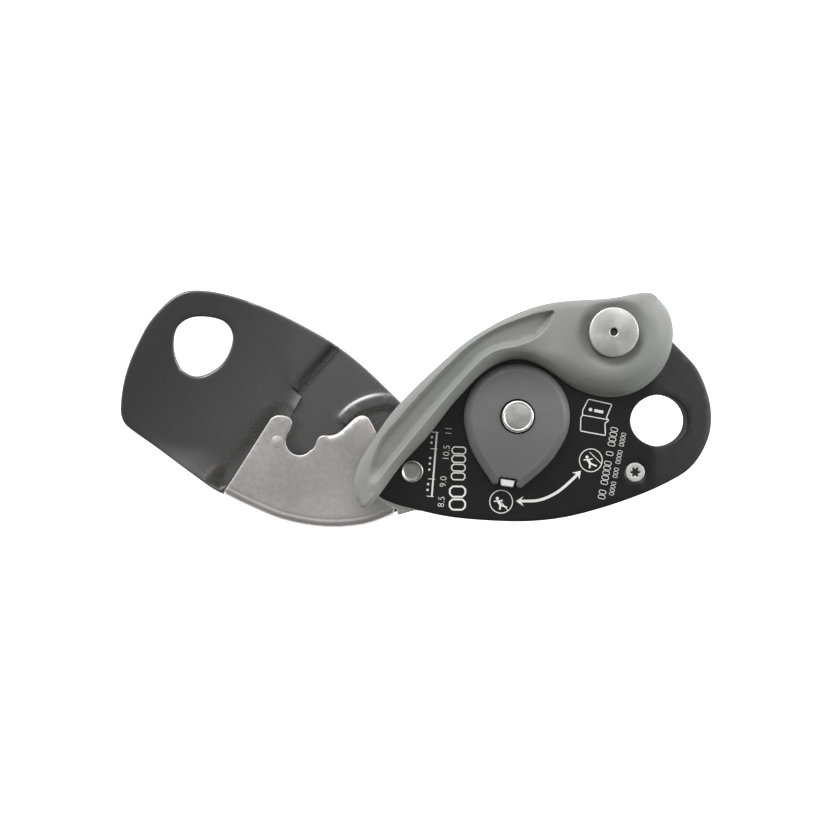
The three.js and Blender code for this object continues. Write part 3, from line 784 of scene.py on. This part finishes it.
def double_arrow():
    points = [(1.1, -24.55), (6.6, -24.25), (11.6, -22.1), (16.0, -18.5), (17.9, -16.6)]
    line = open_curve(points, 0.5)
    marks = [ribbon(line, 0.8)]
    for tip, back in ((line[0], line[4]), (line[-1], line[-5])):
        along, side = directions(back, tip)
        for turn in (1, -1):
            corners = [tip + along * 1.2, tip - along + side * turn * 1.45, tip - along * 0.15]
            marks.append(filled(corners[::turn]))
    return marks


def booklet():
    page = [(20.9, 5.0), (27.7, 3.5), (26.1, -0.4), (26.8, -1.1), (25.7, -2.0), (25.8, -5.5), (18.6, -4.2),
            (18.7, -0.4), (19.2, 0.4), (19.2, 1.7)]
    marks = [ribbon(respaced(page, 0.45), 0.3, closed=True), ribbon([page[8], (26.4, -0.9)], 0.26)]
    marks.append(spot((21.5, 2.0), 0.52))
    marks.append(ribbon([(22.6, 1.75), (25.2, 1.25)], 0.85))
    return marks


def plain_rows():
    """Rows of empty frames where a real device carries its marks."""
    rows = (
        ((-17.1, -27.4), (-17.0, -19.9), (3.0, 4.5), 0.5, (0, 1)),
        ((-16.9, -18.6), (-16.6, -8.6), (1.95, 3.9), 0.36, (0, 1, 2, 3)),
        ((24.6, -24.0), (28.5, -3.1), (1.05, 2.0), 0.17, (0, 1, 3, 4, 5, 6, 7, 9, 11, 12, 13, 14)),
        ((27.5, -22.9), (31.2, -4.7), (0.72, 1.35), 0.13,
         (0, 1, 2, 3, 5, 6, 7, 9, 10, 11, 12, 14, 15, 16, 17)),
    )
    marks = []
    for start, end, size, width, places in rows:
        for i in places:
            centre = between(start, end, (i + 0.5) / (places[-1] + 1))
            marks.append(box_glyph(centre, *directions(start, end), size, width))
    return marks


def make_prints():
    marks = [*rope_scale(), *mode_icon((-4.4, -24.7), False), *mode_icon((21.6, -12.7), True),
             *double_arrow(), *booklet(), *plain_rows()]
    for i, (points, _) in enumerate(marks):
        points[:, 2] += 0.0015 * (i % 9)
    piece("plate_marks", joined(marks), "tab_polymer", PRINT)
    for word, place in (
        ("11", (-18.9, -5.6)), ("10.5", (-19.6, -12.9)), ("9.0", (-20.4, -20.6)), ("8.5", (-21.0, -26.4)),
    ):
        text = bpy.data.curves.new(f"scale_{word.replace('.', '_')}", "FONT")
        text.body = word
        text.size = DIGIT_SIZE * MM
        text.extrude = 0.02 * MM
        text.offset = -0.045 * MM
        text.materials.append(PRINT)
        made = placed(text.name, text)
        made.location = on_fixed_side([(*place, PRINT_Z[1] - 0.01)])[0]
        made.rotation_euler = (0, 0, math.radians(DIGIT_TURN))
        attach(made, "fixed_side")


# ---- fasteners and axles ----
def make_screw():
    top = levels("liner_screw")[1]
    star = np.array([polar(1.15 + 0.33 * math.cos(math.radians(6 * a)), a, SCREW) for a in range(0, 360, 4)])
    head = sheet(circle(SCREW, 2.8, 0.35), top, top - 1.5, [star], under=0.9, step=0.45)
    low = levels("liner_screw")[0]
    shank = lathe([(0, low), (1.2, low), (1.5, low + 0.3), (1.5, top - 1.3), (0, top - 1.3)], SCREW, 48)
    piece("screw", joined([head, shank]), "turned_steel", ZINC, ["liner_screw"])
    # a dark disc at the bottom of the screw's recess: painted shade in the hollow
    turned("screw_recess_painted_shade", "liner_screw", [],
           [(0, 1.28), (1.6, 1.28), (1.6, 0.9), (0.42, 0.9), (0.3, 0.5), (0, 0.45)],
           PAINTED_SHADE_STEEL, SCREW, 40, replaces=False)


def make_turned_pieces():
    turned("axle_of_cam", "cam_axle", [(0, 0), (2.6, 0), (3.0, 0.4)], [
        (3.0, 1.7), (4.6, 1.7), (4.6, 0.45), (4.5, 0.25), (4.2, 0.03), (3.98, 0), (3.86, 0.12), (3.72, 0.2),
        (3.55, 0.14), (0.35, 0.1), (0.22, 0.4), (0, 0.45),
    ], AXLE_STEEL, sides=TURNED_SIDES)
    turned("hinge_rivet", "pivot_rivet", [(0, 0), (3.6, 0), (3.9, 0.3), (3.9, 0.8), (2.4, 0.8)], [
        (2.4, 0.85), (3.3, 0.85), (3.3, 0.55), (3.22, 0.25), (3.05, 0.06), (2.85, 0), (2.66, 0.1),
        (2.45, 0.38), (2.25, 0.46), (1.2, 0.42), (0, 0.4),
    ], RIVET_STEEL, PIVOT, TURNED_SIDES)
    turned("axle_of_handle", "handle_axle", [(0, 0), (4.7, 0), (5.0, 0.3), (5.0, 1.1), (3.5, 1.1)], [
        (3.5, 2.0), (7.0, 2.0), (7.0, 0.35), (6.9, 0.1), (6.68, 0), (1.35, 0), (1.12, 0.2), (1.08, 1.8),
        (0, 1.8),
    ], HUB_STEEL, HUB, TURNED_SIDES)
    # a dark plug in the handle axle's centre hole: painted shade in the hollow
    turned("axle_hole_painted_shade", "handle_axle", [],
           [(0, 1.75), (1.05, 1.75), (1.05, 0.8), (0.8, 1.0), (0.55, 0.75), (0, 0.7)],
           PAINTED_SHADE_STEEL, HUB, 40, replaces=False)
    for name, node, centre, inner, body, slot, material in (
        ("clip_of_cam_axle", "cam_axle_clip", (0, 0), 3.15, "fixed_side", "spring_steel", SPRING),
        ("spacer_sleeve", "pivot_spacer", PIVOT, 2.7, "fixed_side", "turned_steel", STEEL_PLAIN),
        ("spring_washer", "pivot_spring_washer", PIVOT, 2.7, "fixed_side", "spring_steel", SPRING),
        ("washer_of_handle_axle", "handle_axle_washer", HUB, 3.7, "fixed_side", "turned_steel", STEEL_PLAIN),
        ("bush_of_cam", "cam_bush", (0, 0), 3.15, "cam_body", "bronze", BRONZE),
        ("bush_of_handle", "handle_bush", HUB, 3.65, "handle_body", "bronze", BRONZE),
        ("bush_of_moving_plate", "moving_plate_bush", PIVOT, 2.55, "moving_side", "bronze", BRONZE),
    ):
        low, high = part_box(node)
        outer = (high.x - low.x) / MM / 2
        bottom, top = levels(node)
        section = [(inner, bottom), (outer, bottom), (outer, top), (inner, top)]
        piece(name, lathe(section, centre, ring=True), slot, material, [node], body, bevel=0.15)


def make_nut():
    low, top = levels("liner_screw_nut")
    corners = np.array(arc(SCREW, 3.2, 0, 360, 6)[:-1])
    bore = circle(SCREW, 1.7, 0.4)
    solid = sheet(respaced(corners, 0.5), top, low, [bore], under=0.3, step=0.8)
    piece("nut", solid, "turned_steel", STEEL_PLAIN, ["liner_screw_nut"])


# ---- cam ----
CAM_GROOVE_SIDE = [(90, 11.4), (112, 12.2), (135, 14.4), (158, 17.0), (176, 18.4), (190, 18.2)]
CAM_BACK = [
    (-17.4, -8.0), (-11.6, -12.0), (-3.0, -12.4), (5.4, -10.8), (10.4, -6.0), (11.6, 0.6), (9.0, 7.2),
]
PIN = polar(20.5, 58)


def cam_line(shift):
    return smooth([*(polar(radius - shift, angle) for angle, radius in CAM_GROOVE_SIDE), *CAM_BACK])


def make_cam():
    low, top = levels("cam")
    bore = [circle((0, 0), 5.2)]
    pin_hole = [circle(PIN, 1.65, 0.4)]
    arm = respaced([polar(10.6, 20), *arc(PIN, 3.2, -22, 138, 10), polar(10.4, 96)], FINE)
    layers = [
        sheet(cam_line(0), low + 2.2, low, bore, edge=0.6, under=0.5, step=1.6),
        sheet(cam_line(1.6), top - 2.0, low + 2.0, bore, edge=0.1, under=0.1, step=1.8),
        sheet(cam_line(0), top, top - 2.4, bore, edge=0.6, under=0.6, step=1.6),
        sheet(arm, top - 0.02, top - 2.38, pin_hole, edge=0.5, under=0.4, step=1.2),
    ]
    piece("cam_block", joined(layers), "cast_steel", CAST, ["cam"], "cam_body")
    turned("release_pin", "cam_release_pin", [(0, 0), (1.3, 0), (1.5, 0.2)], [(1.5, 0.3), (1.2, 0), (0, 0)],
           STEEL_PLAIN, PIN, body="cam_body")
    spring("return_spring_of_cam", "cam_return_spring", "cam_body", (0, 0), 6.9, 1.0)


# ---- mode knob ----
def knob_outline():
    side = open_curve([(6.6, 13.9), (10.8, 11.9), (14.6, 9.2), (18.2, 6.0)])
    left = side[::-1]
    right = side * (1, -1)
    line = [*arc((0, 0), 15.3, 66, 294, 150), *right[1:], (20.4, -4.0), (20.1, -2.75), (18.1, -2.6),
            (17.9, -2.3), (17.9, 2.3), (18.1, 2.6), (20.1, 2.75), (20.4, 4.0), *left[:-1]]
    return respaced(line, 0.45)


def make_knob():
    """The knob, its skirt following the outline without the notch, and its white tab."""
    outline = knob_outline()
    bare = np.vstack([outline[np.hypot(*outline.T) > 12], [(20.9, 0.0)]])
    bare = bare[np.argsort(np.arctan2(bare[:, 1], bare[:, 0]))]
    bare = respaced(bare[(np.abs(bare[:, 1]) > 3.3) | (bare[:, 0] > 20.5) | (bare[:, 0] < 0)], 0.5)
    skirt = 2.1

    def face(x, y):
        gap = distance(np.column_stack([x, y]), bare, closed=True)
        wall = 3.0 * (1 - (1 - np.clip(gap / skirt, 0, 1)) ** 1.5)
        lip = 0.05 * np.exp(-(((gap - skirt - 0.15) / 0.35) ** 2))
        sag = 1.8 * (np.clip(np.abs(x - 1.0) - 3.0, 0, None) / 15.0) ** 1.5 + 0.8 * (y / 14.0) ** 2
        return KNOB_TOP - 3.0 + wall + lip - sag * eased(gap / skirt)

    marks = [inset(bare, skirt * share) for share in (0.5, 0.8, 0.93, 1.0, 1.07, 1.2)]
    bore = [circle((0, 0), 5.0)]
    solid = sheet(outline, face, KNOB_BOTTOM, bore, step=0.9, marks=marks)
    piece("knob", solid, "knob_polymer", KNOB_GREY, ["mode_knob"], "knob_body", on_knob, sharp=50)
    low, top = levels("mode_lock_tab")
    corners = [(18.35, -2.2), (20.2, -1.75), (20.4, -1.55), (20.4, 1.55), (20.2, 1.75), (18.35, 2.2)]
    solid = sheet(respaced(corners, 0.3), top, low, edge=0.45, step=0.5)
    piece("lock_tab", solid, "tab_polymer", TAB_WHITE, ["mode_lock_tab"], "lock_body", on_knob, sharp=50)


# ---- handle ----
HANDLE_OUTLINE = [
    *arc(HUB, 18.3, -105, 10, 11),
    (43.6, 30.8), (41.1, 33.8), (38.4, 35.4), (35.4, 35.4), (26.2, 33.8), (13.3, 33.0), (6.2, 31.7),
    (-0.9, 29.2),
    (-8.1, 25.6), (-15.2, 21.0), (-22.3, 14.9), (-29.5, 8.1), (-36.6, 0.3), (-41.6, -7.2),
    (-45.2, -13.2), (-46.6, -17.2), (-46.7, -20.6), (-45.8, -24.2), (-44.2, -26.3), (-42.6, -25.6),
    (-39.4, -22.2), (-33.2, -13.9), (-26.0, -6.1), (-18.8, 3.1), (-15.2, 7.1), (-11.6, 10.9),
    (-8.1, 13.7), (-4.5, 15.6), (-0.9, 16.4), (2.6, 16.2), (6.2, 14.9), (9.8, 12.8), (13.3, 10.3),
    (16.9, 8.1),
]
CHANNEL_OUTER = [
    (-42.9, -19.5), (-42.4, -15.0), (-39.4, -7.2), (-33.7, -0.1), (-27.4, 7.0), (-20.2, 14.5), (-13.9, 20.3),
    (-8.2, 24.2), (-1.1, 27.3), (6.0, 29.6), (10.2, 30.4),
]
CHANNEL_INNER = [
    (10.3, 28.6), (8.6, 25.4), (5.2, 22.2), (-0.2, 20.0), (-5.3, 19.0), (-8.9, 17.3), (-13.2, 13.4),
    (-20.2, 5.6),
    (-27.4, -2.9), (-33.7, -10.7), (-37.3, -15.2), (-40.6, -20.4),
]


THINNEST_RIM = 1.0
CAVITY_RADIUS = 13.4
CAVITY_WALL = 2.2
CAVITY_DEPTH = 3.3


def shoulder(gap, width, depth):
    """The drop of an elliptical edge at a distance inside it."""
    inner = np.clip(1 - gap / width, 0, 1)
    return depth * (1 - np.sqrt(np.maximum(1 - inner**2, 0)))


def make_handle():
    outline = smooth(HANDLE_OUTLINE)
    outer_line = open_curve(CHANNEL_OUTER)
    inner_line = open_curve(CHANNEL_INNER)
    channel = np.vstack([outer_line, inner_line])
    corner = np.argmin(np.hypot(outline[:, 0] - 41.1, outline[:, 1] - 33.8))
    tip = np.argmin(np.hypot(outline[:, 0] + 45.8, outline[:, 1] + 24.2))
    upper_edge = outline[corner:tip]
    lower_edge = np.vstack([outline[tip:], outline[:corner]])

    def face(x, y):
        """The crowned top, with its thumb channel, hub seat and rounded flanks."""
        flat = np.column_stack([x, y])
        to_hub = np.hypot(x - HUB[0], y - HUB[1])
        to_outer = distance(flat, outer_line)
        to_inner = distance(flat, inner_line)
        share = to_outer / (to_outer + to_inner + 1e-6)
        floor = (1.7 * eased(to_outer / 0.9) + 0.7 * share) * eased(to_inner / 1.7)
        floor = np.where(within(flat, channel), floor, 0) * eased((y + 19.8) / 6.0)
        to_edge = distance(flat, outline, closed=True)
        seat = np.where(to_hub < 6.6, 0.45, 2.4 * eased((10.6 - to_hub) / 4.0)) * eased(to_edge / 2.5)
        thin = 0.4 + 0.6 * eased((y + 25.0) / 11.0)
        flank = (3.0 + 4.2 * eased((x - 2.0) / 16.0)) * thin
        brow = (3.7 - 0.7 * eased((x + 2.0) / 16.0)) * thin
        crown = 1.7 * np.clip(to_hub / 18.0, 0, 1) ** 2 * eased((x - 4.0) / 16.0)
        lean = 0.42 * np.clip(to_inner, 0, 4) * eased((12.0 - x) / 14.0) * eased((y + 23.0) / 6.0)
        lean = np.where(within(flat, channel) | (to_inner > to_outer), 0, lean)
        edges = shoulder(distance(flat, upper_edge), brow, 0.55 * brow)
        edges += shoulder(distance(flat, lower_edge), flank, (4.2 + 0.35 * flank) * thin)
        return np.maximum(HANDLE_TOP - edges - floor - seat - crown - lean, HANDLE_BOTTOM + THINNEST_RIM)

    def base(x, y):
        """The flat underside, hollow about the hub."""
        to_hub = np.hypot(x - HUB[0], y - HUB[1])
        to_edge = distance(np.column_stack([x, y]), outline, closed=True)
        hollow = (to_hub < CAVITY_RADIUS) & (to_edge > CAVITY_WALL)
        return np.where(hollow, HANDLE_BOTTOM + CAVITY_DEPTH, HANDLE_BOTTOM)

    marks = [beside(outer_line, g) for g in (-0.3, 0.0, 0.25, 0.5, 0.75, 1.2)]
    marks += [beside(inner_line, g) for g in (-0.3, 0.0, 0.3, 0.6, 0.9, 1.4)]
    marks += [circle(HUB, r) for r in (6.55, 6.65, 7.2, 8.2, 9.2, 10.2, 11.2, 13.36, 13.44)]
    marks += [inset(outline, g) for g in (0.9, 1.3, 1.7, 2.16, 2.24, 3.3, 4.4, 5.5)]
    solid = sheet(outline, face, base, [circle(HUB, 5.3)], edge=0.25, under=0.6, step=1.0, marks=marks)
    piece("handle_body_shell", solid, "handle_polymer", HANDLE_GREY, ["handle"], "handle_body", sharp=50)
    low, top = levels("handle_drive_dog")
    plan = respaced([*arc(HUB, 12.9, 175, 245, 12), *arc(HUB, 8.0, 245, 175, 8)], FINE)
    solid = sheet(plan, top, low, under=0.4, step=1.0)
    piece("drive_dog", solid, "cast_steel", CAST, ["handle_drive_dog"], "handle_body")
    spring("return_spring_of_handle", "handle_return_spring", "handle_body", HUB, 6.6, 0.9)


# ---- moving side, laid out closed ----
MOVING_BEND = (11.0, 13.5)
WALL_POINTS = [(-35.0, -2.6), (-31.1, 4.8), (-23.5, 13.1), (-12.4, 20.4), (-1.0, 24.6), (6.2, 26.6)]
MOVING_OUTLINE = [
    (8.0, 28.8), (18.5, 29.8), (33.0, 31.2), (39.6, 31.9), (43.0, 31.9), (45.6, 30.6), (48.2, 27.6),
    (51.5, 22.4), (54.1, 16.6), (55.9, 10.9), (57.3, 4.9), (57.6, -1.0), (57.0, -6.6), (55.2, -10.4),
    (51.1, -14.2), (47.1, -16.8), (41.6, -19.6), (35.7, -22.0), (29.6, -24.1), (23.1, -25.9),
    (16.3, -27.5), (8.9, -28.5), (0.9, -28.9), (-7.7, -28.7), (-16.0, -28.4), (-24.0, -28.2),
    (-31.6, -26.4), (-37.6, -22.6), (-40.2, -15.9), (-38.6, -9.2), (-35.4, -2.8), (-31.2, 4.8),
    (-23.6, 13.1), (-12.5, 20.4), (-1.4, 24.8),
]
MOVING_HOLE = [
    (50.5, -0.2), (47.1, 5.3), (41.2, 8.5), (36.6, 7.0), (33.8, -0.9), (36.8, -9.0), (41.6, -10.7),
    (49.1, -5.6),
]
RIB_CENTRE = (-21.0, -13.7)
NOTCH_RADIUS = 4.1


RIB_RADIUS = 16.0
STEP_END = -9.4
STEP_X = 10.3


def nose_x(y):
    """Where the pressed step's steep nose runs, beyond the slow part of the step."""
    return 9.2 - (y - STEP_END) * 0.257


def pressed_height(x, y, side):
    """The ribs, the step and the curled side pressed into the moving plate."""
    reach = np.hypot(x - RIB_CENTRE[0], y - RIB_CENTRE[1])
    turn = np.degrees(np.arctan2(y - RIB_CENTRE[1], x - RIB_CENTRE[0]))
    rib = eased((2.6 - np.abs(reach - RIB_RADIUS)) / 1.0) * eased((8.5 - turn) / 4.0)
    rib = np.where(turn > -130, rib, 0)
    gentle = y < STEP_END
    width = np.where(gentle, 3.5, 0.22)
    run = x - np.where(gentle, STEP_X, nose_x(y))
    rise = eased(run / width)
    beyond = np.clip(run - width, 0, None)
    slow = (1 - eased(beyond / 24.0)) * eased((STEP_END - y) / (0.8 + 1.6 * beyond))
    facet = np.clip(1 - beyond / 4.0, 0, 1) * eased((-4.2 - y) / 1.6)
    step = rise * np.where(gentle, 1.2 * slow, 1.3 * facet)
    step += 0.35 * rise * eased((y + 6.0) / 2.0) * eased((2.0 - y) / 3.0) * np.clip(1 - beyond / 3.0, 0, 1)
    gap = distance(np.column_stack([x, y]), side)
    reach_in = 2.5 + 8.0 * np.exp(-(((x - 17.5) / 9.0) ** 2))
    curl = 0.27 * reach_in * (1 - np.clip(gap / reach_in, 0, 1)) ** 2
    curl *= eased((x - 6.5) / 2.5) * eased((42.0 - x) / 16.0)
    return 0.6 * rib + step + curl


def upright_marks(places, ys, stagger):
    """Lines of points along Y, every other one staggered."""
    return [np.array([(x, y + stagger * (i % 2)) for y in ys]) for i, x in enumerate(places)]


def make_moving_plate():
    outline = unfolded(smooth(MOVING_OUTLINE), *MOVING_BEND)
    hole = unfolded(smooth(MOVING_HOLE), *MOVING_BEND)
    side = unfolded(MOVING_OUTLINE[:4], *MOVING_BEND)

    def pressed(x, y):
        return pressed_height(x, y, side)

    marks = [np.array(arc(RIB_CENTRE, r, -125, 9, 60)) for r in (13.3, 13.8, 14.4, 17.6, 18.2, 18.7)]
    riser = (8.6, 9.2, 9.8, 10.3, 10.9, 11.5, 12.1, 12.7, 13.3, 13.8, 14.6)
    marks += upright_marks(riser, np.arange(-28.5, -10.2, 0.6), 0.3)
    marks += [np.array([(nose_x(y) + off, y) for y in np.arange(-9.2, 1.5, 0.5)])
              for off in (0.0, 0.11, 0.22, 1.2, 2.4, 3.8)]
    marks += [np.array([(x, y) for x in np.arange(9.3, 15.5, 0.5)]) for y in (-9.75, -9.58, -9.42, -9.38)]
    marks += upright_marks(np.arange(7.2, 26.0, 0.8), np.arange(18.4, 28.0, 0.8), 0.4)
    points, polygons = sheet(outline, lambda x, y: MOVING_T + pressed(x, y), pressed,
                             [hole, circle(PIVOT, 3.3)], edge=0.7, under=0.35, step=1.4, marks=marks)
    points = bent(points, 0, *MOVING_BEND)
    piece("moving_plate", (points, polygons), "grey_anodised", GREY, ["moving_side_plate"],
          "moving_side", on_moving_side, sharp=40)


def make_wear_plate():
    wall_line = open_curve(WALL_POINTS)
    finger = open_curve([(10.7, 0.9), (10.2, -0.9), (8.4, -2.5), (6.8, -3.1), (5.5, -2.7), (4.6, -1.3),
                         (NOTCH_RADIUS, 0)])
    notch = np.array(arc((0, 0), NOTCH_RADIUS, 0, 180, 26))
    shelf = open_curve([(-NOTCH_RADIUS, 0), (-4.4, -1.4), (-3.9, -2.9), (-3.4, -4.4), (-3.7, -5.6),
                        (-5.2, -7.0)])
    curve = open_curve([(-5.2, -7.0), (-6.4, -8.6), (-7.0, -11.0), (-7.2, -13.7), (-7.5, -16.2),
                        (-8.4, -17.9), (-9.8, -18.6), (-11.4, -18.3), (-15.0, -17.0)])
    lines = [wall_line, finger, notch[1:-1], shelf, curve[1:], [(-33.6, -3.9)]]
    outline = respaced(np.vstack(lines), 0.5)

    def face(x, y):
        flat = np.column_stack([x, y])
        to_wall = distance(flat, wall_line)
        to_curve = distance(flat, curve)
        fold = rounding(to_wall, 2.0) * 0.9
        line = 0.08 * np.exp(-(((to_wall - 2.6) / 0.32) ** 2))
        roll = 0.3 * rounding(to_curve, 1.6) * eased((x + 15.0) / 2.0)
        return LIP_TOP - np.maximum(fold, roll) - line

    def base(x, y):
        to_wall = distance(np.column_stack([x, y]), wall_line)
        return np.where(to_wall < WALL_T, BASE_BOTTOM, LIP_TOP - LIP_T)

    wall_gaps = (0.5, 1.0, 1.5, WALL_T - 0.03, WALL_T + 0.03, 2.4, 2.7, 3.0, 3.4)
    marks = [beside(wall_line[2:-2], g) for g in wall_gaps]
    marks += [beside(curve[2:-2], g) for g in (-0.4, -0.8, -1.2, -1.6)]
    lip = sheet(outline, face, base, step=1.2, marks=marks)
    plan = respaced(np.vstack([beside(wall_line, 0.4), beside(wall_line, 6.8)[::-1]]), 0.6)
    flange = sheet(plan, BASE_BOTTOM + BASE_T, BASE_BOTTOM, step=1.5)
    piece("wear_plate", joined([lip, flange]), "stainless", STEEL, ["steel_wear_plate"],
          "moving_side", on_moving_side, sharp=40)
    turned("lip_stud", "steel_wear_plate", [], [(0, 0.5), (1.75, 0.5), (1.75, 0), (1.6, -0.04), (0, -0.05)],
           STUD_STEEL, (4.8, 4.5), replaces=False, body="moving_side", place=on_moving_side)
    for i in (1, 2, 3):
        node = f"wear_plate_rivet_{i}"
        low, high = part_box(node)
        centre = (np.array([(low.x + high.x) / 2, (low.y + high.y) / 2]) - ORIGIN[:2]) / MM
        turned(f"channel_rivet_{i}", node, [(0, 0), (2.2, 0), (2.4, 0.2), (2.4, 0.6), (1.5, 0.6)],
               [(1.5, 0.55), (2.2, 0.55), (2.05, 0.2), (1.2, 0), (0, 0)],
               STEEL_PLAIN, centre, body="moving_side")


def make_detent():
    centre = turned_about([(10.0, 0)], (0, 0), KNOB_TIP_ANGLE)[0]
    low, high = levels("detent_ball")
    radius = (high - low) / 2
    profile = [(radius * math.sin(math.radians(a)), low + radius - radius * math.cos(math.radians(a)))
               for a in range(0, 181, 12)]
    piece("ball_of_detent", lathe(profile, centre, 32), "turned_steel", STEEL_PLAIN, ["detent_ball"],
          "knob_body")
    spring("spring_of_detent", "detent_spring", "knob_body", centre, 0.85, 0.4, 8)


# ---- floor, light and camera, in metres ----
FLOOR_HALF = 3.0
FLOOR_LEVEL = -0.0005
CAMERA_RISE = 0.4
CAMERA_SHIFT = (0.00025, -0.00167)
LAMP_AIM = Vector((0, 0, 0.02))


def make_stage():
    n = Nodes("pale_floor")
    n.finish((0.9, 0.9, 0.9, 1), 0.8)
    n.shader.inputs["Emission Color"].default_value = (1, 1, 1, 1)
    n.shader.inputs["Emission Strength"].default_value = 0.9
    mesh = bpy.data.meshes.new("floor")
    half, z = FLOOR_HALF, FLOOR_LEVEL
    corners = [(-half, -half, z), (half, -half, z), (half, half, z), (-half, half, z)]
    mesh.from_pydata(corners, [], [(0, 1, 2, 3)])
    mesh.materials.append(n.owner)
    floor = placed("floor", mesh)
    floor.visible_diffuse = False


def area_light(name, place, size, power):
    lamp = bpy.data.lights.new(name, "AREA")
    lamp.size = size
    lamp.energy = power
    made = placed(name, lamp)
    made.location = place
    made.rotation_euler = (LAMP_AIM - Vector(place)).to_track_quat("-Z", "Y").to_euler()


def make_light():
    n = Nodes("studio", "worlds", "Background", "Generated")
    up = n.add("ShaderNodeSeparateXYZ", {0: n.place}).outputs["Z"]
    side = n.add("ShaderNodeVectorMath", {0: n.place, 1: (0.0, 0.98, 0.0)}, operation="DOT_PRODUCT")
    n.set(n.shader.inputs["Color"], n.ramp(up, [(0.0, 0.5), (0.3, 0.95), (0.78, 0.4), (1.0, 0.34)]))
    n.set(n.shader.inputs["Strength"], n.math("ADD", side.outputs["Value"], 1.0))
    bpy.context.scene.world = n.owner
    area_light("key", (-0.35, 0.65, 0.55), 0.5, 5.0)
    area_light("side", (0.8, 0.15, 0.3), 0.4, 3.2)


def make_camera():
    """Straight above the plates, the view of the product shot."""
    lens = bpy.data.cameras.new("camera")
    lens.sensor_width = 36
    lens.lens = 60
    made = placed("camera", lens)
    made.location = (*CAMERA_SHIFT, FIXED_TOP * MM + CAMERA_RISE)
    bpy.context.scene.camera = made


make_camera()
make_light()
make_stage()
make_fixed_plate()
make_liner()
make_prints()
make_screw()
make_nut()
make_turned_pieces()
make_cam()
make_knob()
make_detent()
make_handle()
make_moving_plate()
make_wear_plate()
bpy.context.scene.view_settings.view_transform = "Standard"
